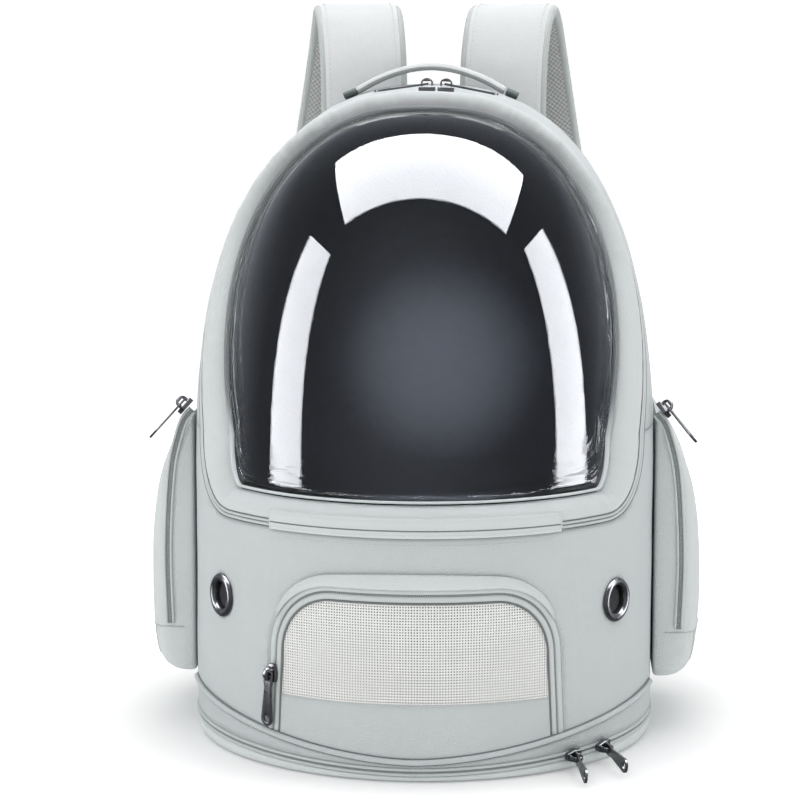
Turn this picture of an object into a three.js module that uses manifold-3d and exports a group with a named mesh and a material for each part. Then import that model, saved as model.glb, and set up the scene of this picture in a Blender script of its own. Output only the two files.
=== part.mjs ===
// A pet carrier backpack: a pale grey cloth body with a clear domed hatch, a mesh door, side pockets,
// a zipped base, two padded shoulder straps and a carrying handle.
// Millimetres, +Z up. The window faces -Y, the wearer's back is at +Y, and the base stands on z = 0.

import * as THREE from 'three';
import { mergeVertices } from 'three/addons/utils/BufferGeometryUtils.js';
import Module from 'manifold-3d';

const wasm = await Module();
wasm.setup();

// Body
const BODY_RADIUS = 150; // half the body's width, and the radius of its round front
const FRONT_CENTRE_Y = 20; // axis of the round front
const GUSSET_BACK_Y = 128; // where the side and top band ends
const SPRING_Z = 171; // height where the sides begin to close into the arch
const BODY_TOP = 416; // top of the arch at the hatch
const ARCH_POWER = 2.4; // fullness of the arch, where 2 is an ellipse
const CLOTH = 2.5; // thickness of a cloth wall
const GAP = 0.3; // clearance between neighbouring pieces
const ZIP_DEPTH = 2; // how far a zip tape lies inside the cloth's surface
const ZIP_PROUD = 0.6; // and how far it stands out
const FRONT_STEPS = 36; // facets round the half circle of the front
const ARCH_STEPS = 28; // facets over the arch
const PANEL_END_Y = 50; // where the lower front is sewn to the side band
const GUSSET_CROWN = [
  { part: 0, rise: 0 },
  { part: 0.18, rise: 1.2 },
  { part: 0.42, rise: 3 },
  { part: 0.72, rise: 4 },
  { part: 1, rise: 3 },
];
const GUSSET_MIDDLE_Z = 111; // height of one more row of points in its straight sides

// Base tray, below a piped seam that dips at the front, and its zip between the seam and the floor
const SEAM_FRONT_Z = 13;
const SEAM_SIDE_Z = 36;
const SEAM_POWER = 0.8; // how soon the seam climbs round the front
const BASE_ZIP_PART = 0.3; // the zip's lower edge, as a part of the seam's height
const BASE_ZIP_HEIGHT = 5.2;
const BASE_PIPING = { angle: 80, out: 1.9, radius: 1.3 };
const BASE_FLOOR = 3;
const BASE_BACK_Y = 140.3;
const BASE_CORNER = 20;
const BASE_INSETS = { floor: 5, wall: 3, rim: 0.2, side: 1.2, sole: 4.5 }; // inside the body's outline

// Back panel and the dark lining in front of it
const BACK_THICKNESS = 12;
const BACK_LOW_Z = 10.8;
const BACK_EDGE = 4;
const BACK_RISES = { front: 3, middle: 2.5, back: 2 }; // how far its top stands over the arch
const LINING_THICKNESS = 2.5;
const LINING_CLEAR = 0.7; // between its edge and the side band

// Hatch: its edge runs level below the window, round a corner, and leans back up to the top
const HATCH_Z = 153.5; // cloth edge below the window
const HATCH_Y = 55; // cloth edge behind the window, at the top
const HATCH_CORNER = 50;
const HATCH_CORNER_ALONG = 137; // from the middle of the front to the corner's centre, along the cloth
const HATCH_LOW_SCALE = 0.583; // the rim is narrower below the window than over the arch
const HATCH_SIDE_SCALE = 1.33; // and wider beside it
const HATCH_ZIP_WIDTH = 8;
const WINDOW_ACROSS = 30; // from the cloth edge to the clear edge, over the arch
const WINDOW_INSET = 11; // how far the clear edge sits inside the body's outline
const WINDOW_WALL = 2;
const WINDOW_POLE = 35; // degrees above level, where the window's rings gather
const WINDOW_RINGS = [0, 0.2, 0.42, 0.66, 0.9]; // parts of the way from its edge to the pole
const FLAP_ANGLE = 36; // half the hinge flap's reach round the front, in degrees
const BAND_SECTION = [
  { across: 8.3, out: -0.2 },
  { across: 13, out: 1.2 },
  { across: 19, out: 0.6 },
  { across: 25, out: -3 },
  { across: 28.5, out: -7.5 },
  { across: 29.4, out: -10.7 },
  { across: 26.5, out: -10.7 },
  { across: 23.5, out: -6 },
  { across: 17, out: -2.6 },
  { across: 8.3, out: -2.7 },
];
const PIPING = { across: 33, out: -9, radius: 1.4 };
const FLAP_CLEAR = 1; // degrees between the flap and the zip
const FLAP = { low: 153, high: 164.5, inner: 1.5, outer: 3.2 };

// Door on the round front, measured along the cloth
const DOOR_HALF = 91; // half width at the bottom
const DOOR_LEAN = 0.055; // narrowing for each millimetre of height
const DOOR_TOP = 112;
const DOOR_CORNER = 36;
const DOOR_NET_LOW = 49;
const DOOR_NET_DEPTH = 1.6;
const DOOR_PANEL = { depth: 2.2, proud: 0.3 };
const DOOR_ZIP_WIDTH = 10;
const DOOR_ZIP_FOOT = 25;
const DOOR_CUT = { outer: 6, inner: -8 }; // reach of the cut through the cloth
const HOOD = { width: 9, lap: 1, inner: 1.1, outer: 3.3, shoulder: 0.6 };

// Vents
const VENT_ANGLE = 56; // round the front, in degrees
const VENT_Z = 102;
const EYELET_INNER = 8.8;
const EYELET_BARREL = 10.4;
const EYELET_PROFILE = [
  { radius: EYELET_INNER, height: -3.4 },
  { radius: EYELET_BARREL, height: -3.4 },
  { radius: EYELET_BARREL, height: 0.4 },
  { radius: 14, height: 0.4 },
  { radius: 13.6, height: 1.6 },
  { radius: 12, height: 2.6 },
  { radius: 10, height: 2.2 },
  { radius: EYELET_INNER, height: 0.6 },
];
const EYELET_SIDES = 16;
const VENT_CUT = 20; // length of the cut through the cloth
const VENT_MESH = { thickness: 0.8, depth: 2.6 };

// Side pockets: sections from the wall outwards
const POCKET_WALL = 2;
const POCKET_LEAST_ROUND = 4;
const POCKET_SECTIONS = [
  { out: 0.7, front: 4, back: 121, low: 34, high: 210, round: 9 },
  { out: 12, front: 2, back: 123, low: 34.5, high: 194, round: 12 },
  { out: 22, front: 3, back: 122, low: 38, high: 175, round: 18 },
  { out: 28, front: 8, back: 117, low: 46, high: 152, round: 24 },
  { out: 31.5, front: 24, back: 101, low: 64, high: 122, round: 26 },
];
const POCKET_ZIP_WIDTH = 6;
const POCKET_ZIP_ROUTE = [
  { out: 1, z: 211 },
  { out: 6.5, z: 204.5 },
  { out: 10.5, z: 193 },
  { out: 14.5, z: 176 },
  { out: 17, z: 150 },
  { out: 18.4, z: 112 },
  { out: 17.2, z: 69 },
];

// Shoulder straps: the right one's route, mirrored for the left
const STRAP_WIDTH = 60;
const STRAP_THICKNESS = 9;
const BAND_EDGE = 3; // softening of a band's edges, at most
const STRAP_ROUTE = [
  { x: 48, y: 145.2, z: 368 },
  { x: 48, y: 145.4, z: 405 },
  { x: 49, y: 148, z: 438 },
  { x: 52, y: 160, z: 463 },
  { x: 56, y: 181, z: 470 },
  { x: 59, y: 200, z: 460 },
  { x: 63, y: 209, z: 435 },
  { x: 70, y: 210, z: 390 },
  { x: 83, y: 204, z: 310 },
  { x: 96, y: 194, z: 235 },
  { x: 104, y: 187, z: 190 },
];
const WEB_WIDTH = 25;
const WEB_THICKNESS = 2;
const WEB_ROUTE = [
  { x: 107.4, y: 181.4, z: 163 },
  { x: 112, y: 171, z: 125 },
  { x: 117, y: 154, z: 92 },
  { x: 120, y: 142.6, z: 74 },
  { x: 121, y: 141.7, z: 58 },
];
const ADJUSTER = { width: 36, height: 24, thickness: 4, bar: 4 };

// Handle over the back of the arch
const HANDLE_Y = 112;
const HANDLE_WIDTH = 22;
const HANDLE_THICKNESS = 5;
const HANDLE_HALF = 50;
const HANDLE_RISE = 432; // height of its middle line at the top
const HANDLE_FULLNESS = 0.9;
const HANDLE_END = { length: 8, wider: 2, clear: 0.9 };
const HANDLE_CLEAR = 0.7; // between the handle's ends and the cloth below

// Zip hardware
const SLIDER = { length: 11, width: 8, height: 3.4 };
const BRIDGE = { half: 4.2, rise: 4.8, bar: 1.4, width: 2.6, root: 1, crown: 1.65, shoulder: 20 };
const PULL = { length: 35, neck: 5, head: 9, eye: 6.6, slot: 5.4, slotHalf: 1.75, thickness: 1.4 };
const PULL_SHOULDER = { start: 6.4, end: 9.4 }; // where the eye narrows into the neck
const PULL_BAR = 2; // the bar across the eye, in the bridge
const HINGE_RISE = SLIDER.height + (BRIDGE.rise - BRIDGE.bar) / 2;
const HATCH_HEAD_X = 6.2; // half the distance between the two sliders
const HATCH_HEAD_SHIFT = 6; // how far right of the middle they meet
const HATCH_PULL_ANGLE = -8;
const DOOR_HEAD_Z = 62;
const DOOR_PULL_ANGLE = -5;
const DOOR_HEAD_TURN = 7; // the slider leans away from the door, in degrees
const DOOR_HEAD_PART = 0.6; // across the zip
const POCKET_HEAD_PART = 0.015; // along the pocket zip
const POCKET_HEAD_TURN = 41; // the slider turns forward round the pocket's top corner, in degrees
const POCKET_PULL_ANGLE = 0;
const BASE_HEADS = [
  { name: 'first', round: 40 },
  { name: 'second', round: 50 },
];
const BASE_HEAD_OUT = 1;
const BASE_HEAD_DROOP = 7; // the base zip's sliders face this far below level, in degrees
const BASE_PULL_ANGLE = 120;

// Colours, roughness and metalness of each material
const CLOTH_LOOK = { color: 0xc6cdca, roughness: 0.85, metalness: 0 };
const STRAP_LOOK = { color: 0xd3d7d6, roughness: 0.85, metalness: 0 };
const TRIM_LOOK = { color: 0xb4bbb9, roughness: 0.75, metalness: 0 };
const NET_LOOK = { color: 0xe0e0dc, roughness: 0.8, metalness: 0 };
const LINING_LOOK = { color: 0x2c3038, roughness: 0.8, metalness: 0 };
const CLEAR_LOOK = { color: 0xe6ecf0, roughness: 0.05, metalness: 0 };
const DARK_LOOK = { color: 0x2f3a38, roughness: 0.8, metalness: 0 };
const PLASTIC_LOOK = { color: 0x9aa19f, roughness: 0.5, metalness: 0 };
const METAL_LOOK = { color: 0x3d3f40, roughness: 0.28, metalness: 0.9 };

const SIDES = [
  { name: 'left', sign: -1 },
  { name: 'right', sign: 1 },
];
const X_WAY = new THREE.Vector3(1, 0, 0);
const Y_WAY = new THREE.Vector3(0, 1, 0);
const carrier = new THREE.Group();

const circle = (sides) => Array.from({ length: sides }, (_, i) => {
  const angle = (2 * Math.PI * i) / sides;
  return [Math.cos(angle), Math.sin(angle)];
});
const radians = (degrees) => (degrees * Math.PI) / 180;
const steps = (from, to, count) => {
  const spacing = (to - from) / count;
  return Array.from({ length: count + 1 }, (_, i) => from + spacing * i);
};

// The base seam's height by depth, and the edges of the base zip below it
function seamZ(y) {
  const ahead = Math.max(0, FRONT_CENTRE_Y - y) / BODY_RADIUS;
  const climb = Math.max(0, 1 - ahead ** 2) ** SEAM_POWER;
  return SEAM_FRONT_Z + (SEAM_SIDE_Z - SEAM_FRONT_Z) * climb;
}
const baseZipLow = (y) => BASE_ZIP_PART * seamZ(y);
const clothLow = (y) => baseZipLow(y) + BASE_ZIP_HEIGHT + GAP;

// One closed body from points and triangles, with its faces turned outwards.
function closedBody(points, faces) {
  const volume = faces.reduce((sum, [a, b, c]) => {
    const normal = new THREE.Vector3().crossVectors(points[b], points[c]);
    return sum + points[a].dot(normal);
  }, 0);
  const outward = volume > 0 ? faces : faces.map(([a, b, c]) => [a, c, b]);
  const geometry = new THREE.BufferGeometry().setFromPoints(points);
  geometry.setIndex(outward.flat());
  return geometry;
}

// A skin through a row of loops, which either closes on itself as a ring or has both ends capped.
function loft(loops, ring = false) {
  const count = loops[0].length;
  const points = loops.flat();
  const faces = [];
  const spans = ring ? loops.length : loops.length - 1;
  for (let span = 0; span < spans; span += 1) {
    const here = span * count;
    const next = ((span + 1) % loops.length) * count;
    for (let j = 0; j < count; j += 1) {
      const k = (j + 1) % count;
      faces.push([here + j, here + k, next + k]);
      faces.push([here + j, next + k, next + j]);
    }
  }
  if (!ring) {
    capLoop(points, faces, 0, count, true);
    capLoop(points, faces, (loops.length - 1) * count, count, false);
  }
  return closedBody(points, faces);
}

// A fan of triangles from the middle of one loop.
function capLoop(points, faces, start, count, first) {
  const middle = new THREE.Vector3();
  for (let j = 0; j < count; j += 1) {
    middle.addScaledVector(points[start + j], 1 / count);
  }
  const hub = points.push(middle) - 1;
  for (let j = 0; j < count; j += 1) {
    const here = start + j;
    const next = start + ((j + 1) % count);
    faces.push(first ? [hub, next, here] : [hub, here, next]);
  }
}

function addPiece(name, geometry, look, parent = carrier) {
  const mesh = new THREE.Mesh(geometry, new THREE.MeshStandardMaterial(look));
  mesh.name = name;
  parent.add(mesh);
  return mesh;
}

function toManifold(geometry) {
  const bare = geometry.clone();
  bare.deleteAttribute('normal');
  bare.deleteAttribute('uv');
  const merged = mergeVertices(bare, 1e-4);
  return new wasm.Manifold(new wasm.Mesh({
    numProp: 3,
    vertProperties: new Float32Array(merged.attributes.position.array),
    triVerts: new Uint32Array(merged.index.array),
  }));
}

function fromManifold(solid) {
  const mesh = solid.getMesh();
  const geometry = new THREE.BufferGeometry();
  geometry.setAttribute('position', new THREE.BufferAttribute(new Float32Array(mesh.vertProperties), 3));
  geometry.setIndex(Array.from(mesh.triVerts));
  return geometry;
}

function cutAway(geometry, cutters) {
  const whole = toManifold(geometry);
  return fromManifold(cutters.reduce((left, cutter) => left.subtract(toManifold(cutter)), whole));
}

function joinTogether(geometry, other) {
  return fromManifold(toManifold(geometry).add(toManifold(other)));
}

// The body's surface: a round front, straight sides, and an arch above the spring line.
function halfWidth(z, out = 0) {
  const lift = Math.max(0, z - SPRING_Z) / (BODY_TOP - SPRING_Z + out);
  const narrowing = Math.max(0, 1 - lift ** ARCH_POWER) ** (1 / ARCH_POWER);
  return (BODY_RADIUS + out) * narrowing;
}

function frontPoint(angle, z, out = 0) {
  const radius = halfWidth(z, out);
  return new THREE.Vector3(radius * Math.sin(angle), FRONT_CENTRE_Y - radius * Math.cos(angle), z);
}

function sidePoint(sign, y, z, out = 0) {
  const radius = halfWidth(z, out);
  const ahead = Math.max(0, FRONT_CENTRE_Y - y);
  return new THREE.Vector3(sign * Math.sqrt(Math.max(0, radius ** 2 - ahead ** 2)), y, z);
}

// The turn runs from -90 degrees at the left spring line, over 0 at the top, to 90 at the right.
function archPoint(turn, y, out = 0) {
  const bend = 2 / ARCH_POWER;
  const across = Math.sign(Math.sin(turn)) * Math.abs(Math.sin(turn)) ** bend;
  const up = Math.max(0, Math.cos(turn)) ** bend;
  return new THREE.Vector3((BODY_RADIUS + out) * across, y, SPRING_Z + (BODY_TOP - SPRING_Z + out) * up);
}

// A point by its distance along the cloth from the middle of the front
const QUARTER = BODY_RADIUS * Math.PI / 2;

function wallPoint(along, z, out = 0) {
  if (Math.abs(along) <= QUARTER) return frontPoint(along / BODY_RADIUS, z, out);
  return sidePoint(Math.sign(along), FRONT_CENTRE_Y + Math.abs(along) - QUARTER, z, out);
}

function alongAtDepth(y) {
  if (y >= FRONT_CENTRE_Y) return QUARTER + y - FRONT_CENTRE_Y;
  return BODY_RADIUS * Math.acos((FRONT_CENTRE_Y - y) / BODY_RADIUS);
}

// Stations along the hatch edge. Each one gives a point at a distance across the rim and out of the body.
const HATCH_CORNER_Z = HATCH_Z + HATCH_CORNER;
const HATCH_FRONT_ANGLE = HATCH_CORNER_ALONG / BODY_RADIUS;
const HATCH_SIDE_ALONG = HATCH_CORNER_ALONG + HATCH_CORNER;
const HATCH_TOP_ALONG = alongAtDepth(HATCH_Y);

function hatchFront(angle) {
  return (across, out) => frontPoint(angle, HATCH_Z + across * HATCH_LOW_SCALE, out);
}

function hatchCorner(sign, turn) {
  return (across, out) => {
    const along = HATCH_CORNER_ALONG + (HATCH_CORNER - across * HATCH_SIDE_SCALE) * Math.sin(turn);
    const z = HATCH_CORNER_Z - (HATCH_CORNER - across * HATCH_LOW_SCALE) * Math.cos(turn);
    return wallPoint(sign * along, z, out);
  };
}

function hatchEdgeAlong(z) {
  const part = Math.min(1, (z - HATCH_CORNER_Z) / (BODY_TOP - HATCH_CORNER_Z));
  return HATCH_SIDE_ALONG + (HATCH_TOP_ALONG - HATCH_SIDE_ALONG) * part;
}

function hatchArch(sign, part) {
  return (across, out) => {
    const low = (HATCH_CORNER_Z - SPRING_Z) / (BODY_TOP - SPRING_Z + out);
    const start = Math.acos(low ** (ARCH_POWER / 2));
    const { z } = archPoint(start * (1 - part), 0, out);
    const edge = hatchEdgeAlong(archPoint(start * (1 - part), 0).z);
    const scale = HATCH_SIDE_SCALE + (1 - HATCH_SIDE_SCALE) * part;
    return wallPoint(sign * (edge - across * scale), z, out);
  };
}

// From one angle on the round front, round the right corner, over the top, and back down the left side.
function hatchStations(fromAngle) {
  const front = steps(fromAngle, HATCH_FRONT_ANGLE, 8);
  const corner = steps(15, 90, 5).map(radians);
  const arch = steps(0.08, 1, 11);
  const right = [
    ...front.map((angle) => hatchFront(angle)),
    ...corner.map((turn) => hatchCorner(1, turn)),
    ...arch.map((part) => hatchArch(1, part)),
  ];
  const left = [
    ...front.map((angle) => hatchFront(-angle)),
    ...corner.map((turn) => hatchCorner(-1, turn)),
    ...arch.slice(0, -1).map((part) => hatchArch(-1, part)),
  ];
  const round = fromAngle === 0 ? left.slice(1) : left;
  return [...right, ...round.reverse()];
}

function sweepHatch(stations, section, ring) {
  return loft(stations.map((at) => section.map(({ across, out }) => at(across, out))), ring);
}

function strip(acrossFrom, acrossTo, inner, outer) {
  return [
    { across: acrossFrom, out: inner },
    { across: acrossTo, out: inner },
    { across: acrossTo, out: outer },
    { across: acrossFrom, out: outer },
  ];
}

// Lower front, with the door's opening and the two vents cut out
function panelLoop(point, low, high) {
  const rows = [low, (low + high) / 2, high];
  const outside = rows.map((z) => point(z, 0));
  const inside = rows.map((z) => point(z, -CLOTH)).reverse();
  return [...outside, ...inside];
}

function frontPanel() {
  const panelAt = (along, high) => {
    const { y } = wallPoint(along, HATCH_Z);
    return panelLoop((z, out) => wallPoint(along, z, out), clothLow(y), high - GAP);
  };
  const side = steps(alongAtDepth(PANEL_END_Y), HATCH_SIDE_ALONG, 4).slice(0, -1);
  const corner = steps(90, 15, 5).map(radians).map((turn) => ({
    along: HATCH_CORNER_ALONG + HATCH_CORNER * Math.sin(turn),
    high: HATCH_CORNER_Z - HATCH_CORNER * Math.cos(turn),
  }));
  const half = [...side.map((along) => ({ along, high: HATCH_CORNER_Z })), ...corner];
  const front = steps(-HATCH_CORNER_ALONG, HATCH_CORNER_ALONG, 24);
  const loops = [
    ...half.map(({ along, high }) => panelAt(-along, high)),
    ...front.map((along) => panelAt(along, HATCH_Z)),
    ...half.reverse().map(({ along, high }) => panelAt(along, high)),
  ];
  return loft(loops);
}

// Side and top band. Its front edge is the panel's seam below and the hatch's leaning edge above.
function gusset() {
  const crossSection = (front, point) => {
    const rows = GUSSET_CROWN.map(({ part, rise }) => ({ y: front + (GUSSET_BACK_Y - front) * part, rise }));
    const outside = rows.map(({ y, rise }) => point(y, rise, 0));
    const inside = rows.map(({ y, rise }) => point(y, rise, CLOTH)).reverse();
    return [...outside, ...inside];
  };
  const sideLoop = (sign, heightAt) => crossSection(PANEL_END_Y + GAP, (y, rise, depth) => {
    return sidePoint(sign, y, heightAt(y), -depth);
  });
  const archLoop = (turn) => {
    const edge = wallPoint(hatchEdgeAlong(archPoint(turn, 0).z), archPoint(turn, 0).z);
    return crossSection(edge.y + GAP, (y, rise, depth) => {
      const out = rise * Math.cos(turn) - depth;
      const { x, z } = archPoint(turn, y, out);
      const ahead = Math.max(0, FRONT_CENTRE_Y - y);
      return new THREE.Vector3(Math.sign(turn) * Math.sqrt(Math.max(0, x ** 2 - ahead ** 2)), y, z);
    });
  };
  const heights = [clothLow, () => GUSSET_MIDDLE_Z, () => HATCH_CORNER_Z];
  const lift = (HATCH_CORNER_Z + 2 * GAP - SPRING_Z) / (BODY_TOP - SPRING_Z);
  const start = Math.acos(lift ** (ARCH_POWER / 2));
  const loops = [
    ...heights.map((heightAt) => sideLoop(-1, heightAt)),
    ...steps(-start, start, ARCH_STEPS).map((turn) => archLoop(turn)),
    ...heights.reverse().map((heightAt) => sideLoop(1, heightAt)),
  ];
  return loft(loops);
}

// A tombstone outline at one depth, drawn in from the body's outline, and raised towards its top
function tombstone(y, inset, low, rise = 0) {
  const arch = steps(90, -90, ARCH_STEPS).map((turn) => {
    return archPoint(radians(turn), y, rise * Math.cos(radians(turn)) - inset);
  });
  const right = new THREE.Vector3(BODY_RADIUS - inset, y, low);
  const left = new THREE.Vector3(inset - BODY_RADIUS, y, low);
  return [right, ...arch, left];
}

function backPanel() {
  const front = GUSSET_BACK_Y + GAP;
  const back = front + BACK_THICKNESS;
  return loft([
    tombstone(front, 0, BACK_LOW_Z, BACK_RISES.front),
    tombstone(back - BACK_EDGE, 0, BACK_LOW_Z, BACK_RISES.middle),
    tombstone(back, BACK_EDGE, BACK_LOW_Z + BACK_EDGE, BACK_RISES.back),
  ]);
}

function lining() {
  const back = GUSSET_BACK_Y - GAP;
  const inset = CLOTH + LINING_CLEAR;
  const low = clothLow(GUSSET_BACK_Y);
  return loft([
    tombstone(back - LINING_THICKNESS, inset, low),
    tombstone(back, inset, low),
  ]);
}

// Base tray and its zip
function baseOutline(inset) {
  const radius = BODY_RADIUS - inset;
  const corner = BASE_CORNER - inset;
  const front = steps(-90, 90, FRONT_STEPS).map((turn) => {
    const angle = radians(turn);
    return [radius * Math.sin(angle), FRONT_CENTRE_Y - radius * Math.cos(angle)];
  });
  const rear = (sign) => steps(0, 90, 4).map((turn) => {
    const angle = radians(turn);
    const x = BODY_RADIUS - BASE_CORNER + corner * Math.cos(angle);
    return [sign * x, BASE_BACK_Y - BASE_CORNER + corner * Math.sin(angle)];
  });
  return [...front, ...rear(1), ...rear(-1).reverse()];
}

// A loop drawn in from the outline, with its height taken from the outline's own depth
function baseLoop(inset, heightAt) {
  const depths = baseOutline(0).map(([, y]) => y);
  return baseOutline(inset).map(([x, y], i) => new THREE.Vector3(x, y, heightAt(depths[i])));
}

function base() {
  const rim = (y) => baseZipLow(y) - GAP;
  return loft([
    baseLoop(BASE_INSETS.floor, () => BASE_FLOOR),
    baseLoop(BASE_INSETS.wall, rim),
    baseLoop(BASE_INSETS.rim, rim),
    baseLoop(BASE_INSETS.side, () => BASE_FLOOR),
    baseLoop(BASE_INSETS.sole, () => 0),
  ]);
}

function baseZip() {
  const section = (point, y) => {
    const low = baseZipLow(y);
    const high = low + BASE_ZIP_HEIGHT;
    return [
      point(low, -ZIP_DEPTH),
      point(high, -ZIP_DEPTH),
      point(high, ZIP_PROUD),
      point(low, ZIP_PROUD),
    ];
  };
  const sideLoop = (sign, y) => section((z, out) => sidePoint(sign, y, z, out), y);
  const loops = [
    ...steps(GUSSET_BACK_Y, FRONT_CENTRE_Y, 2).slice(0, -1).map((y) => sideLoop(-1, y)),
    ...steps(-90, 90, FRONT_STEPS).map((turn) => {
      const angle = radians(turn);
      return section((z, out) => frontPoint(angle, z, out), frontPoint(angle, 0).y);
    }),
    ...steps(FRONT_CENTRE_Y, GUSSET_BACK_Y, 2).slice(1).map((y) => sideLoop(1, y)),
  ];
  return loft(loops);
}

// A round cord on the cloth along the seam, between the pockets
function basePiping() {
  const { angle, out, radius } = BASE_PIPING;
  return loft(steps(-angle, angle, 28).map((round) => {
    const y = frontPoint(radians(round), 0).y;
    return circle(5).map(([across, up]) => {
      return frontPoint(radians(round), seamZ(y) + radius * up, out + radius * across);
    });
  }));
}

// Clear dome: rings drawn from the rim towards a point on its front
function domeRing(stations, part, out) {
  const bend = 2 / ARCH_POWER;
  const reach = BODY_RADIUS + out;
  const height = BODY_TOP - SPRING_Z + out;
  const poleRise = radians(WINDOW_POLE);
  const pole = new THREE.Vector3(0, -Math.cos(poleRise), Math.sin(poleRise));
  return stations.map((at) => {
    const edge = at(WINDOW_ACROSS, out);
    const rise = Math.asin(Math.min(1, Math.max(0, (edge.z - SPRING_Z) / height) ** (1 / bend)));
    const angle = Math.atan2(edge.x, FRONT_CENTRE_Y - edge.y);
    const flat = Math.cos(rise);
    const rim = new THREE.Vector3(flat * Math.sin(angle), -flat * Math.cos(angle), Math.sin(rise));
    const sweep = rim.angleTo(pole);
    const toward = pole.clone().multiplyScalar(Math.sin(part * sweep) / Math.sin(sweep));
    toward.addScaledVector(rim, Math.sin((1 - part) * sweep) / Math.sin(sweep));
    const radius = reach * Math.hypot(toward.x, toward.y) ** bend;
    const round = Math.atan2(toward.x, -toward.y);
    const z = SPRING_Z + height * Math.max(0, toward.z) ** bend;
    return new THREE.Vector3(radius * Math.sin(round), FRONT_CENTRE_Y - radius * Math.cos(round), z);
  });
}

function windowDome() {
  const stations = hatchStations(0);
  const inset = WINDOW_INSET + WINDOW_WALL;
  const inside = WINDOW_RINGS.map((part) => domeRing(stations, part, -inset)).reverse();
  const outside = WINDOW_RINGS.map((part) => domeRing(stations, part, -WINDOW_INSET));
  return loft([...inside, ...outside]);
}

function pipingSection() {
  const { across, out, radius } = PIPING;
  return circle(5).map(([right, up]) => ({ across: across + radius * right, out: out + radius * up }));
}

function hingeFlap() {
  const { low, high, inner, outer } = FLAP;
  return loft(steps(-FLAP_ANGLE, FLAP_ANGLE, 16).map((turn) => {
    const angle = radians(turn);
    return [
      frontPoint(angle, low, inner),
      frontPoint(angle, high, inner),
      frontPoint(angle, high, outer),
      frontPoint(angle, low, outer),
    ];
  }));
}

// Door: its half width at a height, and points on the round front by distance along the cloth
const DOOR_LEG_TOP = DOOR_TOP - DOOR_CORNER;
const doorHalf = (z) => DOOR_HALF - DOOR_LEAN * Math.min(z, DOOR_LEG_TOP);
const DOOR_SHOULDER = doorHalf(DOOR_LEG_TOP) - DOOR_CORNER;
const clothPoint = (along, z, out) => frontPoint(along / BODY_RADIUS, z, out);

function doorTopAt(part) {
  const along = Math.abs(part) * doorHalf(DOOR_TOP);
  const past = Math.max(0, along - DOOR_SHOULDER);
  return DOOR_LEG_TOP + Math.sqrt(Math.max(0, DOOR_CORNER ** 2 - past ** 2));
}

function doorPiece(lowAt, highAt, inner, outer) {
  const parts = steps(-90, 90, 18).map((turn) => Math.sin(radians(turn)));
  return loft(parts.map((part) => {
    const point = (z, out) => clothPoint(part * doorHalf(z), z, out);
    const low = lowAt(frontPoint((part * DOOR_HALF) / BODY_RADIUS, 0).y);
    const high = highAt(part);
    return [point(low, inner), point(high, inner), point(high, outer), point(low, outer)];
  }));
}

// Stations round the door, from the left foot over the top to the right foot, at a distance past its edge
function doorStations(footZ) {
  const legs = steps(footZ, DOOR_LEG_TOP, 2).slice(0, -1);
  const leg = (sign, z) => (across, out) => clothPoint(sign * (doorHalf(z) + across), z, out);
  const bend = (sign, turn) => (across, out) => {
    const radius = DOOR_CORNER + across;
    const along = DOOR_SHOULDER + radius * Math.cos(turn);
    return clothPoint(sign * along, DOOR_LEG_TOP + radius * Math.sin(turn), out);
  };
  const top = (part) => (across, out) => clothPoint(part * DOOR_SHOULDER, DOOR_TOP + across, out);
  const corner = steps(0, 90, 6).map(radians);
  return [
    ...legs.map((z) => leg(-1, z)),
    ...corner.map((turn) => bend(-1, turn)),
    ...steps(-1, 1, 6).slice(1, -1).map((part) => top(part)),
    ...corner.slice().reverse().map((turn) => bend(1, turn)),
    ...legs.reverse().map((z) => leg(1, z)),
  ];
}

// The opening that the door and its zip fill: the door's outline grown by the zip's width, to the seam
function doorOpening() {
  const stations = doorStations(DOOR_ZIP_FOOT - GAP);
  const edge = (out) => stations.map((at) => at(DOOR_ZIP_WIDTH, out));
  const foot = (out) => stations.map((at) => {
    const point = at(DOOR_ZIP_WIDTH, out);
    return new THREE.Vector3(point.x, point.y, seamZ(at(DOOR_ZIP_WIDTH, 0).y));
  });
  const outer = edge(DOOR_CUT.outer);
  const inner = edge(DOOR_CUT.inner);
  const outerFoot = foot(DOOR_CUT.outer);
  const innerFoot = foot(DOOR_CUT.inner);
  return loft(stations.map((_, i) => [outer[i], inner[i], innerFoot[i], outerFoot[i]]));
}

// A cloth hood over the door's zip, from one upper corner to the other, narrowing towards its ends
function doorHood() {
  const stations = doorStations(DOOR_ZIP_FOOT).slice(4, -4);
  const { width, lap, inner, outer, shoulder } = HOOD;
  const near = DOOR_ZIP_WIDTH - lap;
  return loft(stations.map((at, i) => {
    const part = (i + shoulder) / (stations.length - 1 + 2 * shoulder);
    const far = near + width * Math.sin(Math.PI * part) ** shoulder;
    return strip(near, far, inner, outer).map(({ across, out }) => at(across, out));
  }));
}

// A local frame on the body: x runs along the zip, z points out, and y is the hinge axis of a pull
function placedGroup(position, along, outward) {
  const x = along.clone().normalize();
  const z = outward.clone().addScaledVector(x, -outward.dot(x)).normalize();
  const y = new THREE.Vector3().crossVectors(z, x);
  const group = new THREE.Group();
  group.quaternion.setFromRotationMatrix(new THREE.Matrix4().makeBasis(x, y, z));
  group.position.copy(position);
  carrier.add(group);
  return group;
}

function eyeletRing() {
  const profile = EYELET_PROFILE.map(({ radius, height }) => new THREE.Vector2(radius, height));
  profile.push(profile[0].clone());
  return new THREE.LatheGeometry(profile, EYELET_SIDES).rotateX(Math.PI / 2);
}

function ventMesh() {
  const radius = EYELET_INNER - GAP;
  const disc = new THREE.CylinderGeometry(radius, radius, VENT_MESH.thickness, EYELET_SIDES);
  return disc.rotateX(Math.PI / 2).translate(0, 0, -VENT_MESH.depth);
}

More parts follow.
